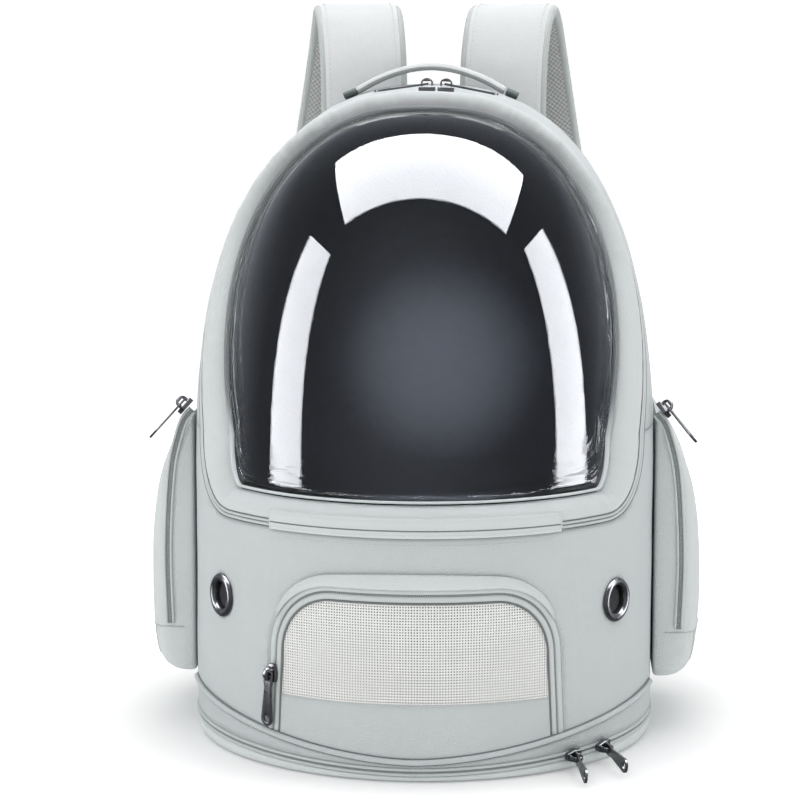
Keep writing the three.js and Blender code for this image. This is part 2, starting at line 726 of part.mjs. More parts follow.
function ventFrame(sign) {
  const angle = sign * radians(VENT_ANGLE);
  const outward = new THREE.Vector3(Math.sin(angle), -Math.cos(angle), 0);
  return placedGroup(frontPoint(angle, VENT_Z), new THREE.Vector3(0, 0, 1), outward);
}

function ventHole(sign) {
  const angle = sign * radians(VENT_ANGLE);
  const centre = frontPoint(angle, VENT_Z);
  const outward = new THREE.Vector3(Math.sin(angle), -Math.cos(angle), 0);
  const turn = new THREE.Quaternion().setFromUnitVectors(new THREE.Vector3(0, 1, 0), outward);
  const radius = EYELET_BARREL + GAP;
  const hole = new THREE.CylinderGeometry(radius, radius, VENT_CUT, EYELET_SIDES);
  return hole.applyQuaternion(turn).translate(centre.x, centre.y, centre.z);
}

// Pockets: rounded rectangles against the side wall, lofted outwards and hollow
function pocketLoop(sign, row, wall) {
  const round = Math.max(POCKET_LEAST_ROUND, row.round - wall);
  const front = row.front + wall + round;
  const back = row.back - wall - round;
  const low = row.low + wall + round;
  const high = row.high - wall - round;
  const centres = [[back, high], [front, high], [front, low], [back, low]];
  const x = sign * (BODY_RADIUS + row.out);
  return centres.flatMap(([y, z], quarter) => steps(0, 90, 4).map((turn) => {
    const angle = radians(turn + 90 * quarter);
    return new THREE.Vector3(x, y + round * Math.cos(angle), z + round * Math.sin(angle));
  }));
}

function pocket(sign) {
  const inside = POCKET_SECTIONS.map((row, i) => {
    const out = i === 0 ? row.out : row.out - POCKET_WALL;
    return pocketLoop(sign, { ...row, out }, POCKET_WALL);
  }).reverse();
  const outside = POCKET_SECTIONS.map((row) => pocketLoop(sign, row, 0));
  return loft([...inside, ...outside]);
}

function pocketRoute(sign) {
  const front = Math.min(...POCKET_SECTIONS.map((row) => row.front)) - GAP;
  return new THREE.CatmullRomCurve3(POCKET_ZIP_ROUTE.map(({ out, z }) => {
    return new THREE.Vector3(sign * (BODY_RADIUS + out), front, z);
  }));
}

function pocketZip(sign) {
  const route = pocketRoute(sign);
  const half = POCKET_ZIP_WIDTH / 2;
  const forward = new THREE.Vector3(0, -ZIP_DEPTH, 0);
  return loft(steps(0, 1, 14).map((part) => {
    const centre = route.getPoint(part);
    const along = route.getTangent(part);
    const across = new THREE.Vector3().crossVectors(along, Y_WAY).normalize();
    const near = centre.clone().addScaledVector(across, -half);
    const far = centre.clone().addScaledVector(across, half);
    return [near, far, far.clone().add(forward), near.clone().add(forward)];
  }));
}

// A flat band with softened edges along a route, its width kept close to one direction
function bandAlong(points, count, width, thickness, widthWay) {
  const route = new THREE.CatmullRomCurve3(points);
  const soft = Math.min(BAND_EDGE, thickness / 2);
  const section = [
    [width / 2, -thickness / 4],
    [width / 2, thickness / 4],
    [width / 2 - soft, thickness / 2],
    [soft - width / 2, thickness / 2],
    [-width / 2, thickness / 4],
    [-width / 2, -thickness / 4],
    [soft - width / 2, -thickness / 2],
    [width / 2 - soft, -thickness / 2],
  ];
  return loft(steps(0, 1, count).map((part) => {
    const centre = route.getPointAt(part);
    const along = route.getTangentAt(part);
    const across = widthWay.clone().addScaledVector(along, -widthWay.dot(along)).normalize();
    const face = new THREE.Vector3().crossVectors(along, across);
    return section.map(([w, t]) => centre.clone().addScaledVector(across, w).addScaledVector(face, t));
  }));
}

const routePoints = (rows, sign) => rows.map(({ x, y, z }) => new THREE.Vector3(sign * x, y, z));

// A flat frame with two slots between the padded strap and its webbing
function adjuster() {
  const { width, height, thickness, bar } = ADJUSTER;
  const plate = new THREE.Shape();
  plate.moveTo(-width / 2, -height / 2);
  plate.lineTo(width / 2, -height / 2);
  plate.lineTo(width / 2, height / 2);
  plate.lineTo(-width / 2, height / 2);
  const slotHalf = width / 2 - bar;
  const slotHeight = (height - 3 * bar) / 2;
  [bar / 2, -bar / 2 - slotHeight].forEach((low) => {
    const slot = new THREE.Path();
    slot.moveTo(-slotHalf, low);
    slot.lineTo(slotHalf, low);
    slot.lineTo(slotHalf, low + slotHeight);
    slot.lineTo(-slotHalf, low + slotHeight);
    plate.holes.push(slot);
  });
  const geometry = new THREE.ExtrudeGeometry(plate, { depth: thickness, bevelEnabled: false });
  return geometry.translate(0, 0, -thickness / 2);
}

function placeAdjuster(name, sign) {
  const top = routePoints(STRAP_ROUTE, sign).at(-1);
  const foot = routePoints(WEB_ROUTE, sign)[0];
  const up = top.clone().sub(foot).normalize();
  const side = X_WAY.clone().addScaledVector(up, -X_WAY.dot(up)).normalize();
  const group = new THREE.Group();
  const face = new THREE.Vector3().crossVectors(side, up);
  group.quaternion.setFromRotationMatrix(new THREE.Matrix4().makeBasis(side, up, face));
  group.position.copy(top).lerp(foot, 0.5);
  carrier.add(group);
  addPiece(name, adjuster(), PLASTIC_LOOK, group);
}

// Handle: a low arch whose ends lie on the gusset
function archTopAt(x) {
  const drop = 1 - (Math.abs(x) / BODY_RADIUS) ** ARCH_POWER;
  return SPRING_Z + (BODY_TOP - SPRING_Z) * drop ** (1 / ARCH_POWER);
}
const CROWN_RISE = Math.max(...GUSSET_CROWN.map(({ rise }) => rise));
const HANDLE_SEAT = CROWN_RISE + HANDLE_CLEAR + HANDLE_THICKNESS / 2;

function handle() {
  const endZ = archTopAt(HANDLE_HALF) + HANDLE_SEAT;
  const half = steps(0, 1, 4).slice(1).map((part) => {
    const x = HANDLE_HALF * (1 - part);
    const lift = Math.sin((part * Math.PI) / 2) ** HANDLE_FULLNESS;
    return [x, endZ + (HANDLE_RISE - endZ) * lift];
  });
  const right = [[HANDLE_HALF, endZ], ...half];
  const left = right.slice(0, -1).reverse().map(([x, z]) => [-x, z]);
  const points = [...right, ...left].map(([x, z]) => new THREE.Vector3(x, HANDLE_Y, z));
  return bandAlong(points, 16, HANDLE_WIDTH, HANDLE_THICKNESS, Y_WAY);
}

function handleEnd(sign) {
  const { length, wider, clear } = HANDLE_END;
  const start = HANDLE_HALF + clear;
  const points = [start, start + length].map((x) => {
    return new THREE.Vector3(sign * x, HANDLE_Y, archTopAt(x) + HANDLE_SEAT);
  });
  return bandAlong(points, 1, HANDLE_WIDTH + wider, HANDLE_THICKNESS, Y_WAY);
}

// Zip slider: a shield-shaped body with a bridge over it
function slider() {
  const { length, width, height } = SLIDER;
  const plan = new THREE.Shape();
  plan.moveTo(-length / 2, -width / 4);
  plan.lineTo(0, -width / 2);
  plan.lineTo(length / 2, -width / 2);
  plan.lineTo(length / 2, width / 2);
  plan.lineTo(0, width / 2);
  plan.lineTo(-length / 2, width / 4);
  const body = new THREE.ExtrudeGeometry(plan, { depth: height - GAP, bevelEnabled: false });
  body.translate(0, 0, GAP);
  const { half, rise, bar, root, crown, shoulder } = BRIDGE;
  const bow = new THREE.Shape();
  bow.moveTo(-half, -root);
  bow.lineTo(half, -root);
  bow.lineTo(half, rise / 2);
  bow.absarc(0, crown, half, radians(shoulder), Math.PI - radians(shoulder), false);
  bow.lineTo(-half, rise / 2);
  const eye = new THREE.Path();
  const eyeHalf = half - bar;
  eye.moveTo(-eyeHalf, 0);
  eye.lineTo(eyeHalf, 0);
  eye.lineTo(eyeHalf, rise - bar);
  eye.lineTo(-eyeHalf, rise - bar);
  bow.holes.push(eye);
  const options = { depth: BRIDGE.width, bevelEnabled: false, curveSegments: 6 };
  const bridge = new THREE.ExtrudeGeometry(bow, options);
  bridge.translate(0, 0, -BRIDGE.width / 2).rotateX(Math.PI / 2).translate(0, 0, height);
  return joinTogether(body, bridge);
}

// Zip pull: an eye round the bridge, a narrow neck and a broad end with a hole
function pull() {
  const { length, neck, head, eye, slot, slotHalf, thickness } = PULL;
  const back = PULL_BAR / 2;
  const tab = new THREE.Shape();
  tab.moveTo(-back, -eye / 2);
  tab.lineTo(PULL_SHOULDER.start, -eye / 2);
  tab.lineTo(PULL_SHOULDER.end, -neck / 2);
  tab.lineTo(length - head / 2, -head / 2);
  tab.absarc(length - head / 2, 0, head / 2, -Math.PI / 2, Math.PI / 2, false);
  tab.lineTo(PULL_SHOULDER.end, neck / 2);
  tab.lineTo(PULL_SHOULDER.start, eye / 2);
  tab.lineTo(-back, eye / 2);
  const opening = new THREE.Path();
  opening.moveTo(back, -slotHalf);
  opening.lineTo(slot, -slotHalf);
  opening.lineTo(slot, slotHalf);
  opening.lineTo(back, slotHalf);
  const hole = new THREE.Path();
  hole.absarc(length - head / 2, 0, head / 4, 0, Math.PI * 2, false);
  tab.holes.push(opening, hole);
  const options = { depth: thickness, bevelEnabled: false, curveSegments: 5 };
  return new THREE.ExtrudeGeometry(tab, options).translate(0, 0, -thickness / 2);
}

// The pull lies along the zip at 0 degrees and stands straight out at 90
function addZipHead(name, group, restAngle) {
  addPiece(`${name}_slider`, slider(), METAL_LOOK, group);
  const hinge = new THREE.Group();
  hinge.position.z = HINGE_RISE;
  hinge.rotation.y = -radians(restAngle);
  group.add(hinge);
  addPiece(`${name}_pull`, pull(), METAL_LOOK, hinge);
}

// Where each zip's slider sits, which way it faces, and how its pull lies
function hatchZipHead(name, sign) {
  const x = HATCH_HEAD_SHIFT + sign * HATCH_HEAD_X;
  const y = HATCH_Y - HATCH_ZIP_WIDTH / 2;
  const position = new THREE.Vector3(x, y, archTopAt(x) + ZIP_PROUD);
  const along = new THREE.Vector3(sign, 0, archTopAt(x + sign) - archTopAt(x));
  const group = placedGroup(position, along, new THREE.Vector3(0, 0, 1));
  addZipHead(`hatch_${name}`, group, HATCH_PULL_ANGLE);
}

function doorZipHead() {
  const reach = doorHalf(DOOR_HEAD_Z) + DOOR_ZIP_WIDTH * DOOR_HEAD_PART;
  const position = clothPoint(-reach, DOOR_HEAD_Z, ZIP_PROUD);
  const outward = new THREE.Vector3(position.x, position.y - FRONT_CENTRE_Y, 0);
  const sideways = new THREE.Vector3(outward.y, -outward.x, 0).normalize();
  const along = new THREE.Vector3(0, 0, -1);
  along.addScaledVector(sideways, Math.tan(radians(DOOR_HEAD_TURN)));
  addZipHead('door', placedGroup(position, along, outward), DOOR_PULL_ANGLE);
}

function baseZipHead({ name, round }) {
  const angle = radians(round);
  const y = frontPoint(angle, 0).y;
  const position = frontPoint(angle, baseZipLow(y) + BASE_ZIP_HEIGHT / 2, BASE_HEAD_OUT);
  const along = new THREE.Vector3(Math.cos(angle), Math.sin(angle), 0);
  const down = -Math.tan(radians(BASE_HEAD_DROOP));
  const outward = new THREE.Vector3(Math.sin(angle), -Math.cos(angle), down);
  addZipHead(`base_${name}`, placedGroup(position, along, outward), BASE_PULL_ANGLE);
}

function pocketZipHead(name, sign) {
  const route = pocketRoute(sign);
  const downward = route.getTangent(POCKET_HEAD_PART);
  const outward = new THREE.Vector3().crossVectors(downward, Y_WAY).multiplyScalar(sign).normalize();
  const lift = POCKET_ZIP_WIDTH / 2 + GAP;
  const position = route.getPoint(POCKET_HEAD_PART).addScaledVector(outward, lift);
  const along = downward.clone().multiplyScalar(Math.cos(radians(POCKET_HEAD_TURN)));
  along.addScaledVector(Y_WAY, -Math.sin(radians(POCKET_HEAD_TURN)));
  const group = placedGroup(position, along, outward);
  addZipHead(`pocket_${name}`, group, POCKET_PULL_ANGLE);
}

// Body
const vents = SIDES.map(({ sign }) => ventHole(sign));
addPiece('front_panel', cutAway(frontPanel(), [doorOpening(), ...vents]), CLOTH_LOOK);
addPiece('gusset', gusset(), CLOTH_LOOK);
addPiece('back_panel', backPanel(), STRAP_LOOK);
addPiece('lining', lining(), LINING_LOOK);
addPiece('base', base(), CLOTH_LOOK);
addPiece('base_zip', baseZip(), TRIM_LOOK);
addPiece('base_piping', basePiping(), TRIM_LOOK);

// Hatch
const rimStations = hatchStations(0);
addPiece('hatch_band', sweepHatch(rimStations, BAND_SECTION, true), CLOTH_LOOK);
addPiece('hatch_piping', sweepHatch(rimStations, pipingSection(), true), TRIM_LOOK);
const zipStations = hatchStations(radians(FLAP_ANGLE + FLAP_CLEAR));
const zipSection = strip(GAP, HATCH_ZIP_WIDTH, -ZIP_DEPTH, ZIP_PROUD);
addPiece('hatch_zip', sweepHatch(zipStations, zipSection, false), TRIM_LOOK);
addPiece('window', windowDome(), CLEAR_LOOK);
addPiece('hinge_flap', hingeFlap(), CLOTH_LOOK);

// Door
const netLow = () => DOOR_NET_LOW + GAP;
addPiece('door_net', doorPiece(netLow, doorTopAt, -DOOR_NET_DEPTH, 0), NET_LOOK);
const panelLow = (y) => seamZ(y) + GAP;
const panelHigh = () => DOOR_NET_LOW;
const doorPanel = doorPiece(panelLow, panelHigh, -DOOR_PANEL.depth, DOOR_PANEL.proud);
addPiece('door_panel', doorPanel, CLOTH_LOOK);
const doorZipStations = doorStations(DOOR_ZIP_FOOT);
const doorZipSection = strip(GAP, DOOR_ZIP_WIDTH - GAP, -ZIP_DEPTH, ZIP_PROUD);
addPiece('door_zip', sweepHatch(doorZipStations, doorZipSection, false), TRIM_LOOK);
addPiece('door_hood', doorHood(), CLOTH_LOOK);

// Vents, pockets, straps and the handle's ends, left and right
SIDES.forEach(({ name, sign }) => {
  const vent = ventFrame(sign);
  addPiece(`eyelet_${name}`, eyeletRing(), METAL_LOOK, vent);
  addPiece(`vent_mesh_${name}`, ventMesh(), LINING_LOOK, vent);
  addPiece(`pocket_${name}`, pocket(sign), CLOTH_LOOK);
  addPiece(`pocket_zip_${name}`, pocketZip(sign), TRIM_LOOK);
  const strapPoints = routePoints(STRAP_ROUTE, sign);
  const strap = bandAlong(strapPoints, 26, STRAP_WIDTH, STRAP_THICKNESS, X_WAY);
  addPiece(`strap_${name}`, strap, STRAP_LOOK);
  const webPoints = routePoints(WEB_ROUTE, sign);
  const web = bandAlong(webPoints, 8, WEB_WIDTH, WEB_THICKNESS, X_WAY);
  addPiece(`web_${name}`, web, STRAP_LOOK);
  placeAdjuster(`adjuster_${name}`, sign);
  addPiece(`handle_end_${name}`, handleEnd(sign), DARK_LOOK);
  hatchZipHead(name, sign);
  pocketZipHead(name, sign);
});
addPiece('handle', handle(), STRAP_LOOK);
doorZipHead();
BASE_HEADS.forEach((head) => baseZipHead(head));

export default carrier;
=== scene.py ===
# %% [markdown]
# # A pet carrier backpack
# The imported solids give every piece's place and size, and this lesson dresses them. Cloth walls are
# skinned from the same sizes as the solids, zips and stitches are rows that follow a seam, the pockets
# and the back pad are blown up a little by a cloth simulation, and the clear dome takes its looks from
# the lights.

# %% Load the frame
import math

import bmesh
import bpy
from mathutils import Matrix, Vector, kdtree, noise
from mathutils.bvhtree import BVHTree
from mathutils.geometry import delaunay_2d_cdt


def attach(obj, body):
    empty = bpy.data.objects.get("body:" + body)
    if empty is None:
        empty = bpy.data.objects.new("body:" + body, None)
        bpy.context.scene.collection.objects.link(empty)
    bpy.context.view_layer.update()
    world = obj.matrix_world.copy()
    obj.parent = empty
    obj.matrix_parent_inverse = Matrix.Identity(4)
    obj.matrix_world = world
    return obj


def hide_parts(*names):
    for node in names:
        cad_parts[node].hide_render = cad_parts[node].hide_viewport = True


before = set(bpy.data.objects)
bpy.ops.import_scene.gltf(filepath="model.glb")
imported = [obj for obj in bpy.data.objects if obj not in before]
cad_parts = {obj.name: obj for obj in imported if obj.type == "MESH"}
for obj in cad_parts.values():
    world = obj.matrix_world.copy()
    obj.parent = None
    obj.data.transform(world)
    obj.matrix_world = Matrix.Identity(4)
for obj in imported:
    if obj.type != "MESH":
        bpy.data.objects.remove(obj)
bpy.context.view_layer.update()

MM = 0.001
X_WAY, Y_WAY, Z_WAY = (Vector(way) for way in ((1, 0, 0), (0, 1, 0), (0, 0, 1)))
SIDES = (("left", -1), ("right", 1))
scene = bpy.context.scene

# %% [markdown]
# ## The body's shape
# Seen from above, the bag is a half circle in front with straight sides behind it. Seen from the front,
# it is an arch. Every cloth wall lies on this one surface, so a few functions give any point of it, and
# `out` moves the point out of the cloth. All sizes here are in millimetres.

# %% Points on the body
BODY_RADIUS = 150.0
FRONT_CENTRE_Y = 20.0
PANEL_END_Y = 50.0
GUSSET_BACK_Y = 128.0
SPRING_Z = 171.0
BODY_TOP = 416.0
ARCH_POWER = 2.4
CLOTH = 2.5
GAP = 0.3
QUARTER = BODY_RADIUS * math.pi / 2
BODY_MIDDLE = Vector((0, 60, 200))


def steps(start, end, count):
    return [start + (end - start) * i / count for i in range(count + 1)]


def uneven(x, y, seed):
    """A smooth random value from -1 to 1, the same on each run."""
    return noise.noise(Vector((x, y, seed)))


def half_width(z, out=0.0):
    lift = max(0.0, z - SPRING_Z) / (BODY_TOP - SPRING_Z + out)
    return (BODY_RADIUS + out) * max(0.0, 1 - lift ** ARCH_POWER) ** (1 / ARCH_POWER)


def front_point(angle, z, out=0.0):
    radius = half_width(z, out)
    return Vector((radius * math.sin(angle), FRONT_CENTRE_Y - radius * math.cos(angle), z))


def side_point(sign, y, z, out=0.0):
    ahead = max(0.0, FRONT_CENTRE_Y - y)
    return Vector((sign * math.sqrt(max(0.0, half_width(z, out) ** 2 - ahead ** 2)), y, z))


def arch_point(turn, y, out=0.0):
    bend = 2 / ARCH_POWER
    across = math.copysign(abs(math.sin(turn)) ** bend, math.sin(turn))
    up = max(0.0, math.cos(turn)) ** bend
    return Vector(((BODY_RADIUS + out) * across, y, SPRING_Z + (BODY_TOP - SPRING_Z + out) * up))


def wall_point(along, z, out=0.0):
    """A point by its distance along the cloth from the middle of the front."""
    if abs(along) <= QUARTER:
        return front_point(along / BODY_RADIUS, z, out)
    y = FRONT_CENTRE_Y + abs(along) - QUARTER
    return Vector((math.copysign(half_width(z, out), along), y, z))


def along_at_depth(y):
    if y >= FRONT_CENTRE_Y:
        return QUARTER + y - FRONT_CENTRE_Y
    return BODY_RADIUS * math.acos((FRONT_CENTRE_Y - y) / BODY_RADIUS)


print("half width at the arch's middle: %.0f mm" % half_width(300))

# %% [markdown]
# ## Making meshes
# Most pieces here are skins: a row of loops joined by quads, as ribs are covered by canvas. Each corner
# also gets a UV in real metres, measured along and around the piece, so one weave fits every piece at its
# true size.

# %% Skins through loops
def running_lengths(points, closed):
    lengths = [0.0]
    for i in range(1, len(points) + (1 if closed else 0)):
        lengths.append(lengths[-1] + (points[i % len(points)] - points[i - 1]).length)
    return lengths


def turn_outwards(mesh, closed):
    work = bmesh.new()
    work.from_mesh(mesh)
    if closed:
        bmesh.ops.recalc_face_normals(work, faces=work.faces)
    else:
        middle = BODY_MIDDLE * MM
        if sum(f.normal.dot(f.calc_center_median() - middle) for f in work.faces) < 0:
            bmesh.ops.reverse_faces(work, faces=work.faces)
    work.to_mesh(mesh)
    work.free()


def new_piece(name, mesh):
    piece = bpy.data.objects.new(name, mesh)
    scene.collection.objects.link(piece)
    return piece


def dress(mesh, finishes):
    """Gives a mesh its finishes, in order, and soft shading."""
    mesh.materials.clear()
    for finish in finishes:
        mesh.materials.append(finish)
    mesh.polygons.foreach_set("use_smooth", [True] * len(mesh.polygons))


def mesh_piece(name, verts, faces, uvs, finishes, closed=True, parts=None):
    mesh = bpy.data.meshes.new(name)
    mesh.from_pydata([v * MM for v in verts], [], faces)
    layer = mesh.uv_layers.new(name="cloth")
    layer.data.foreach_set("uv", [c * MM for face in uvs for uv in face for c in uv])
    dress(mesh, finishes)
    if parts:
        mesh.polygons.foreach_set("material_index", parts)
    turn_outwards(mesh, closed)
    return new_piece(name, mesh)


def skin(name, loops, finishes, ring=False, closed=True, tips=None, part_of=None, girth_of=None):
    """Joins neighbouring loops. A ring joins the last loop to the first; otherwise both ends are capped.

    part_of picks a face's finish by its row and column. The two caps are row -1 and one past the last row.
    """
    count = len(loops[0])
    rows = len(loops) if ring else len(loops) - 1
    cols = count if closed else count - 1
    path = running_lengths([sum(loop, Vector()) / count for loop in loops], ring)
    girth = running_lengths(loops[len(loops) // 2], closed)
    verts = [point for loop in loops for point in loop]
    faces, uvs, parts = [], [], []
    for i in range(rows):
        here, there = i * count, (i + 1) % len(loops) * count
        for j in range(cols):
            k = (j + 1) % count
            face = (here + j, here + k, there + k, there + j)
            rounds = (girth[j], girth[j + 1], girth[j + 1], girth[j])
            if girth_of:
                rounds = [girth_of(verts[v]) for v in face]
            faces.append(face)
            uvs.append(list(zip((path[i], path[i], path[i + 1], path[i + 1]), rounds)))
            parts.append(part_of(i, j) if part_of else 0)
    if closed and not ring:
        for end, start in enumerate((0, (len(loops) - 1) * count)):
            tip = tips[end] if tips else sum(verts[start:start + count], Vector()) / count
            hub = len(verts)
            verts.append(tip)
            for j in range(count):
                face = (hub, start + j, start + (j + 1) % count)
                faces.append(face)
                uvs.append([(p.x + p.y, p.z) for p in (verts[v] - tip for v in face)])
                parts.append(part_of(end * (rows + 1) - 1, j) if part_of else 0)
    return mesh_piece(name, verts, faces, uvs, finishes, closed, parts if part_of else None)


def curve_point(a, b, c, d, part):
    """A point between b and c, on a soft curve through all four."""
    bend = (c - a) * part + (2 * a - 5 * b + 4 * c - d) * part ** 2 + (3 * b - a - 3 * c + d) * part ** 3
    return b + bend * 0.5


def rounded(section, fine=4):
    """A soft closed outline through the corners of a rougher one."""
    count = len(section)
    soft = []
    for i in range(count):
        near = [Vector(section[(i + k) % count]) for k in (-1, 0, 1, 2)]
        soft += [curve_point(*near, part) for part in steps(0, 1, fine)[:-1]]
    return soft


def ring_section(radius, sides=10):
    return [(radius * math.cos(a), radius * math.sin(a)) for a in steps(0, 2 * math.pi, sides)[:-1]]


def thicken(piece, thickness):
    """Gives a sheet its wall, inwards, with the second finish on the inside."""
    wall = piece.modifiers.new("cloth wall", "SOLIDIFY")
    wall.thickness = thickness * MM
    wall.offset = -1
    wall.material_offset = 1
    return piece


def settle(piece, slot, *nodes, body="carrier"):
    """Hands a finished piece to the frame."""
    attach(piece, body)
    if nodes:
        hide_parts(*nodes)
    print("%s: %d faces on %s" % (piece.name, len(piece.data.polygons), body))
    return piece


def swept(places, section):
    """Loops of one section along places, which are functions of the distances across and out."""
    return [[at(across, out) for across, out in section] for at in places]


def cord(name, places, across, out, radius, finish, *nodes, slot="trim", sides=8, ring=False):
    """A round cord sewn on along places."""
    section = [(across + x, out + y) for x, y in ring_section(radius, sides)]
    settle(skin(name, swept(places, section), [finish], ring=ring), slot, *nodes)


# %% [markdown]
# ## Cloth finishes
# The cloth is a pale grey oxford weave: small raised crossings in a checker, with a slow change of tone
# over a hand's width. Two sine waves on the UV give the crossings, their product drives both a small
# change of colour and the bump, and a noise gives the slow change. The same recipe with other sizes makes
# the lining, the webbing and the open spacer mesh inside the straps. The front wall, the pockets and the
# base share one oxford in three tones, lighter where less light reaches them: painted light and shade.

# %% Nodes and finishes
def set_inputs(tree, node, values):
    """Sets inputs by name or number. A value is a constant or another node's output."""
    for title, value in values.items():
        if isinstance(value, bpy.types.NodeSocket):
            tree.links.new(value, node.inputs[title])
        else:
            node.inputs[title].default_value = value


def add_node(tree, kind, values=None, **settings):
    node = tree.nodes.new(kind)
    for title, value in settings.items():
        setattr(node, title, value)
    set_inputs(tree, node, values or {})
    return node


def math_node(tree, kind, *values):
    return add_node(tree, "ShaderNodeMath", dict(enumerate(values)), operation=kind).outputs[0]


def map_range(tree, value, start, end, low=0.0, high=1.0, kind="SMOOTHSTEP"):
    ends = {"Value": value, "From Min": start, "From Max": end, "To Min": low, "To Max": high}
    return add_node(tree, "ShaderNodeMapRange", ends, interpolation_type=kind).outputs[0]


def shader_of(material):
    material.use_nodes = True
    return material.node_tree, material.node_tree.nodes["Principled BSDF"]


def two_tone(tree, shader, factor, colour, change):
    """Makes a colour darker where a factor is 0 and lighter where it is 1."""
    dark, light = ([c * (1 + way * change) for c in colour] + [1] for way in (-1, 1))
    mix = add_node(tree, "ShaderNodeMix", {0: factor, 6: dark, 7: light}, data_type="RGBA")
    set_inputs(tree, shader, {"Base Color": mix.outputs[2]})


# %% A weave
TONE = {"Scale": 22.0, "Detail": 3.0}
WEAVE_BUMP, SHEEN_ROUGHNESS = 0.6, 0.5


def weave(name, colour, pitch=1.9, stretch=1.0, relief=0.2, contrast=0.09, blotch=0.04,
          roughness=0.85, sheen=0.1, coords="UV", axes=("X", "Y")):
    """Threads crossing every pitch millimetres; stretch lengthens them one way."""
    material = bpy.data.materials.new(name)
    tree, shader = shader_of(material)
    place = add_node(tree, "ShaderNodeTexCoord").outputs
    split = add_node(tree, "ShaderNodeSeparateXYZ", {0: place[coords]}).outputs
    turns = 2 * math.pi / (pitch * MM)
    waves = [math_node(tree, "SINE", math_node(tree, "MULTIPLY", split[axis], rate))
             for axis, rate in zip(axes, (turns, turns / stretch))]
    crossing = math_node(tree, "MULTIPLY", *waves)
    tone = add_node(tree, "ShaderNodeTexNoise", {"Vector": place["Object"], **TONE}).outputs[0]
    slow = math_node(tree, "MULTIPLY", math_node(tree, "SUBTRACT", tone, 0.5), blotch / contrast)
    mixed = math_node(tree, "ADD", math_node(tree, "MULTIPLY", crossing, 0.5), slow)
    two_tone(tree, shader, math_node(tree, "ADD", mixed, 0.5), colour, contrast)
    bump = add_node(tree, "ShaderNodeBump",
                    {"Strength": WEAVE_BUMP, "Distance": relief * MM, "Height": crossing})
    set_inputs(tree, shader, {"Normal": bump.outputs[0], "Roughness": roughness, "Sheen Weight": sheen,
                              "Sheen Roughness": SHEEN_ROUGHNESS})
    return material


cloth = weave("pale grey oxford", (0.535, 0.570, 0.573))
# The pocket and base copies are the front's oxford made lighter: painted light for parts that get less light.
pocket_cloth_painted_light = weave("pale grey pocket oxford, lighter as painted light", (0.62, 0.66, 0.655))
base_cloth_painted_light = weave("pale grey base oxford, lighter as painted light", (0.73, 0.77, 0.765))
strap_cloth = weave("strap cloth", (0.73, 0.745, 0.75), pitch=1.5, contrast=0.04)
trim_cloth = weave("binding", (0.47, 0.505, 0.495), pitch=1.2, contrast=0.08, roughness=0.75)
tape_cloth = weave("zip tape", (0.60, 0.64, 0.635), pitch=1.0, contrast=0.08, roughness=0.7)
spacer = weave("spacer mesh", (0.42, 0.43, 0.42), pitch=3.4, relief=0.6, contrast=0.34, blotch=0.08)
dark_lining = weave("dark lining", (0.011, 0.013, 0.019), pitch=1.6, contrast=0.12, blotch=0.1, sheen=0.05)
dark_mesh = weave("dark vent mesh", (0.012, 0.012, 0.013), pitch=2.0, relief=0.4, contrast=0.5,
                  sheen=0.0, coords="Object", axes=("X", "Z"))
dark_tab = weave("dark handle tab", (0.035, 0.055, 0.05), pitch=1.4, contrast=0.2, coords="Object")
# This dark cloth binds the door's edge and lines the hatch zip and the flap; along the base seam its cords
# are painted shade.
dark_binding_and_seam_shade = weave("dark binding and painted seam shade", (0.16, 0.175, 0.175), pitch=1.2, contrast=0.15)
webbing = weave("webbing", (0.55, 0.58, 0.575), pitch=1.4, stretch=3.0, relief=0.25, contrast=0.1)
# Painted shade: the handle's underside is a darker copy of the strap cloth, for the side that faces away from
# the light.
handle_painted_shade = weave("handle underside painted shade", (0.33, 0.35, 0.35), pitch=1.4, contrast=0.12)


def paint_shade_across(material, light_v, dark_v, low_z, high_z, share):
    """Paints shade on a weave: darker from one place across its width to another, and only on its higher
    parts.
    """
    tree, shader = shader_of(material)
    place = add_node(tree, "ShaderNodeTexCoord").outputs
    fades = []
    for coords, axis, start, end in (("UV", "Y", light_v, dark_v), ("Object", "Z", low_z, high_z)):
        split = add_node(tree, "ShaderNodeSeparateXYZ", {0: place[coords]})
        fades.append(map_range(tree, split.outputs[axis], start * MM, end * MM))
    darker = math_node(tree, "MULTIPLY", math_node(tree, "MULTIPLY", *fades), 1 - share)
    colour = shader.inputs["Base Color"].links[0].from_socket
    kept = math_node(tree, "SUBTRACT", 1.0, darker)
    dimmed = add_node(tree, "ShaderNodeVectorMath", {0: colour, "Scale": kept}, operation="SCALE")
    set_inputs(tree, shader, {"Base Color": dimmed.outputs[0]})


rim_cloth = weave("hatch rim oxford", (0.61, 0.645, 0.645))
# Painted shade: the rim's cloth darkens towards the window on the higher part of the arch, where the roll
# turns from the light.
paint_shade_across(rim_cloth, light_v=7, dark_v=25, low_z=280, high_z=405, share=0.36)
window_cord = weave("window piping", (0.66, 0.70, 0.70), pitch=1.2, contrast=0.08)
# Painted shade: the piping stays light along the bottom and darkens up the arch, where it sits in the rim's
# recess.
paint_shade_across(window_cord, light_v=-2, dark_v=-1, low_z=190, high_z=235, share=0.27)
print("cloth finishes:", len(bpy.data.materials))

# %% [markdown]
# ## Metal, thread and clear finishes
# The zip heads and eyelets are gunmetal: a dark metal with a soft shine that changes a little from place
# to place. The dome is a clear plastic shell, so it is given real transmission, and what shows on it are
# the reflections of the light panels. Threads and zip teeth are a slightly shiny plastic.

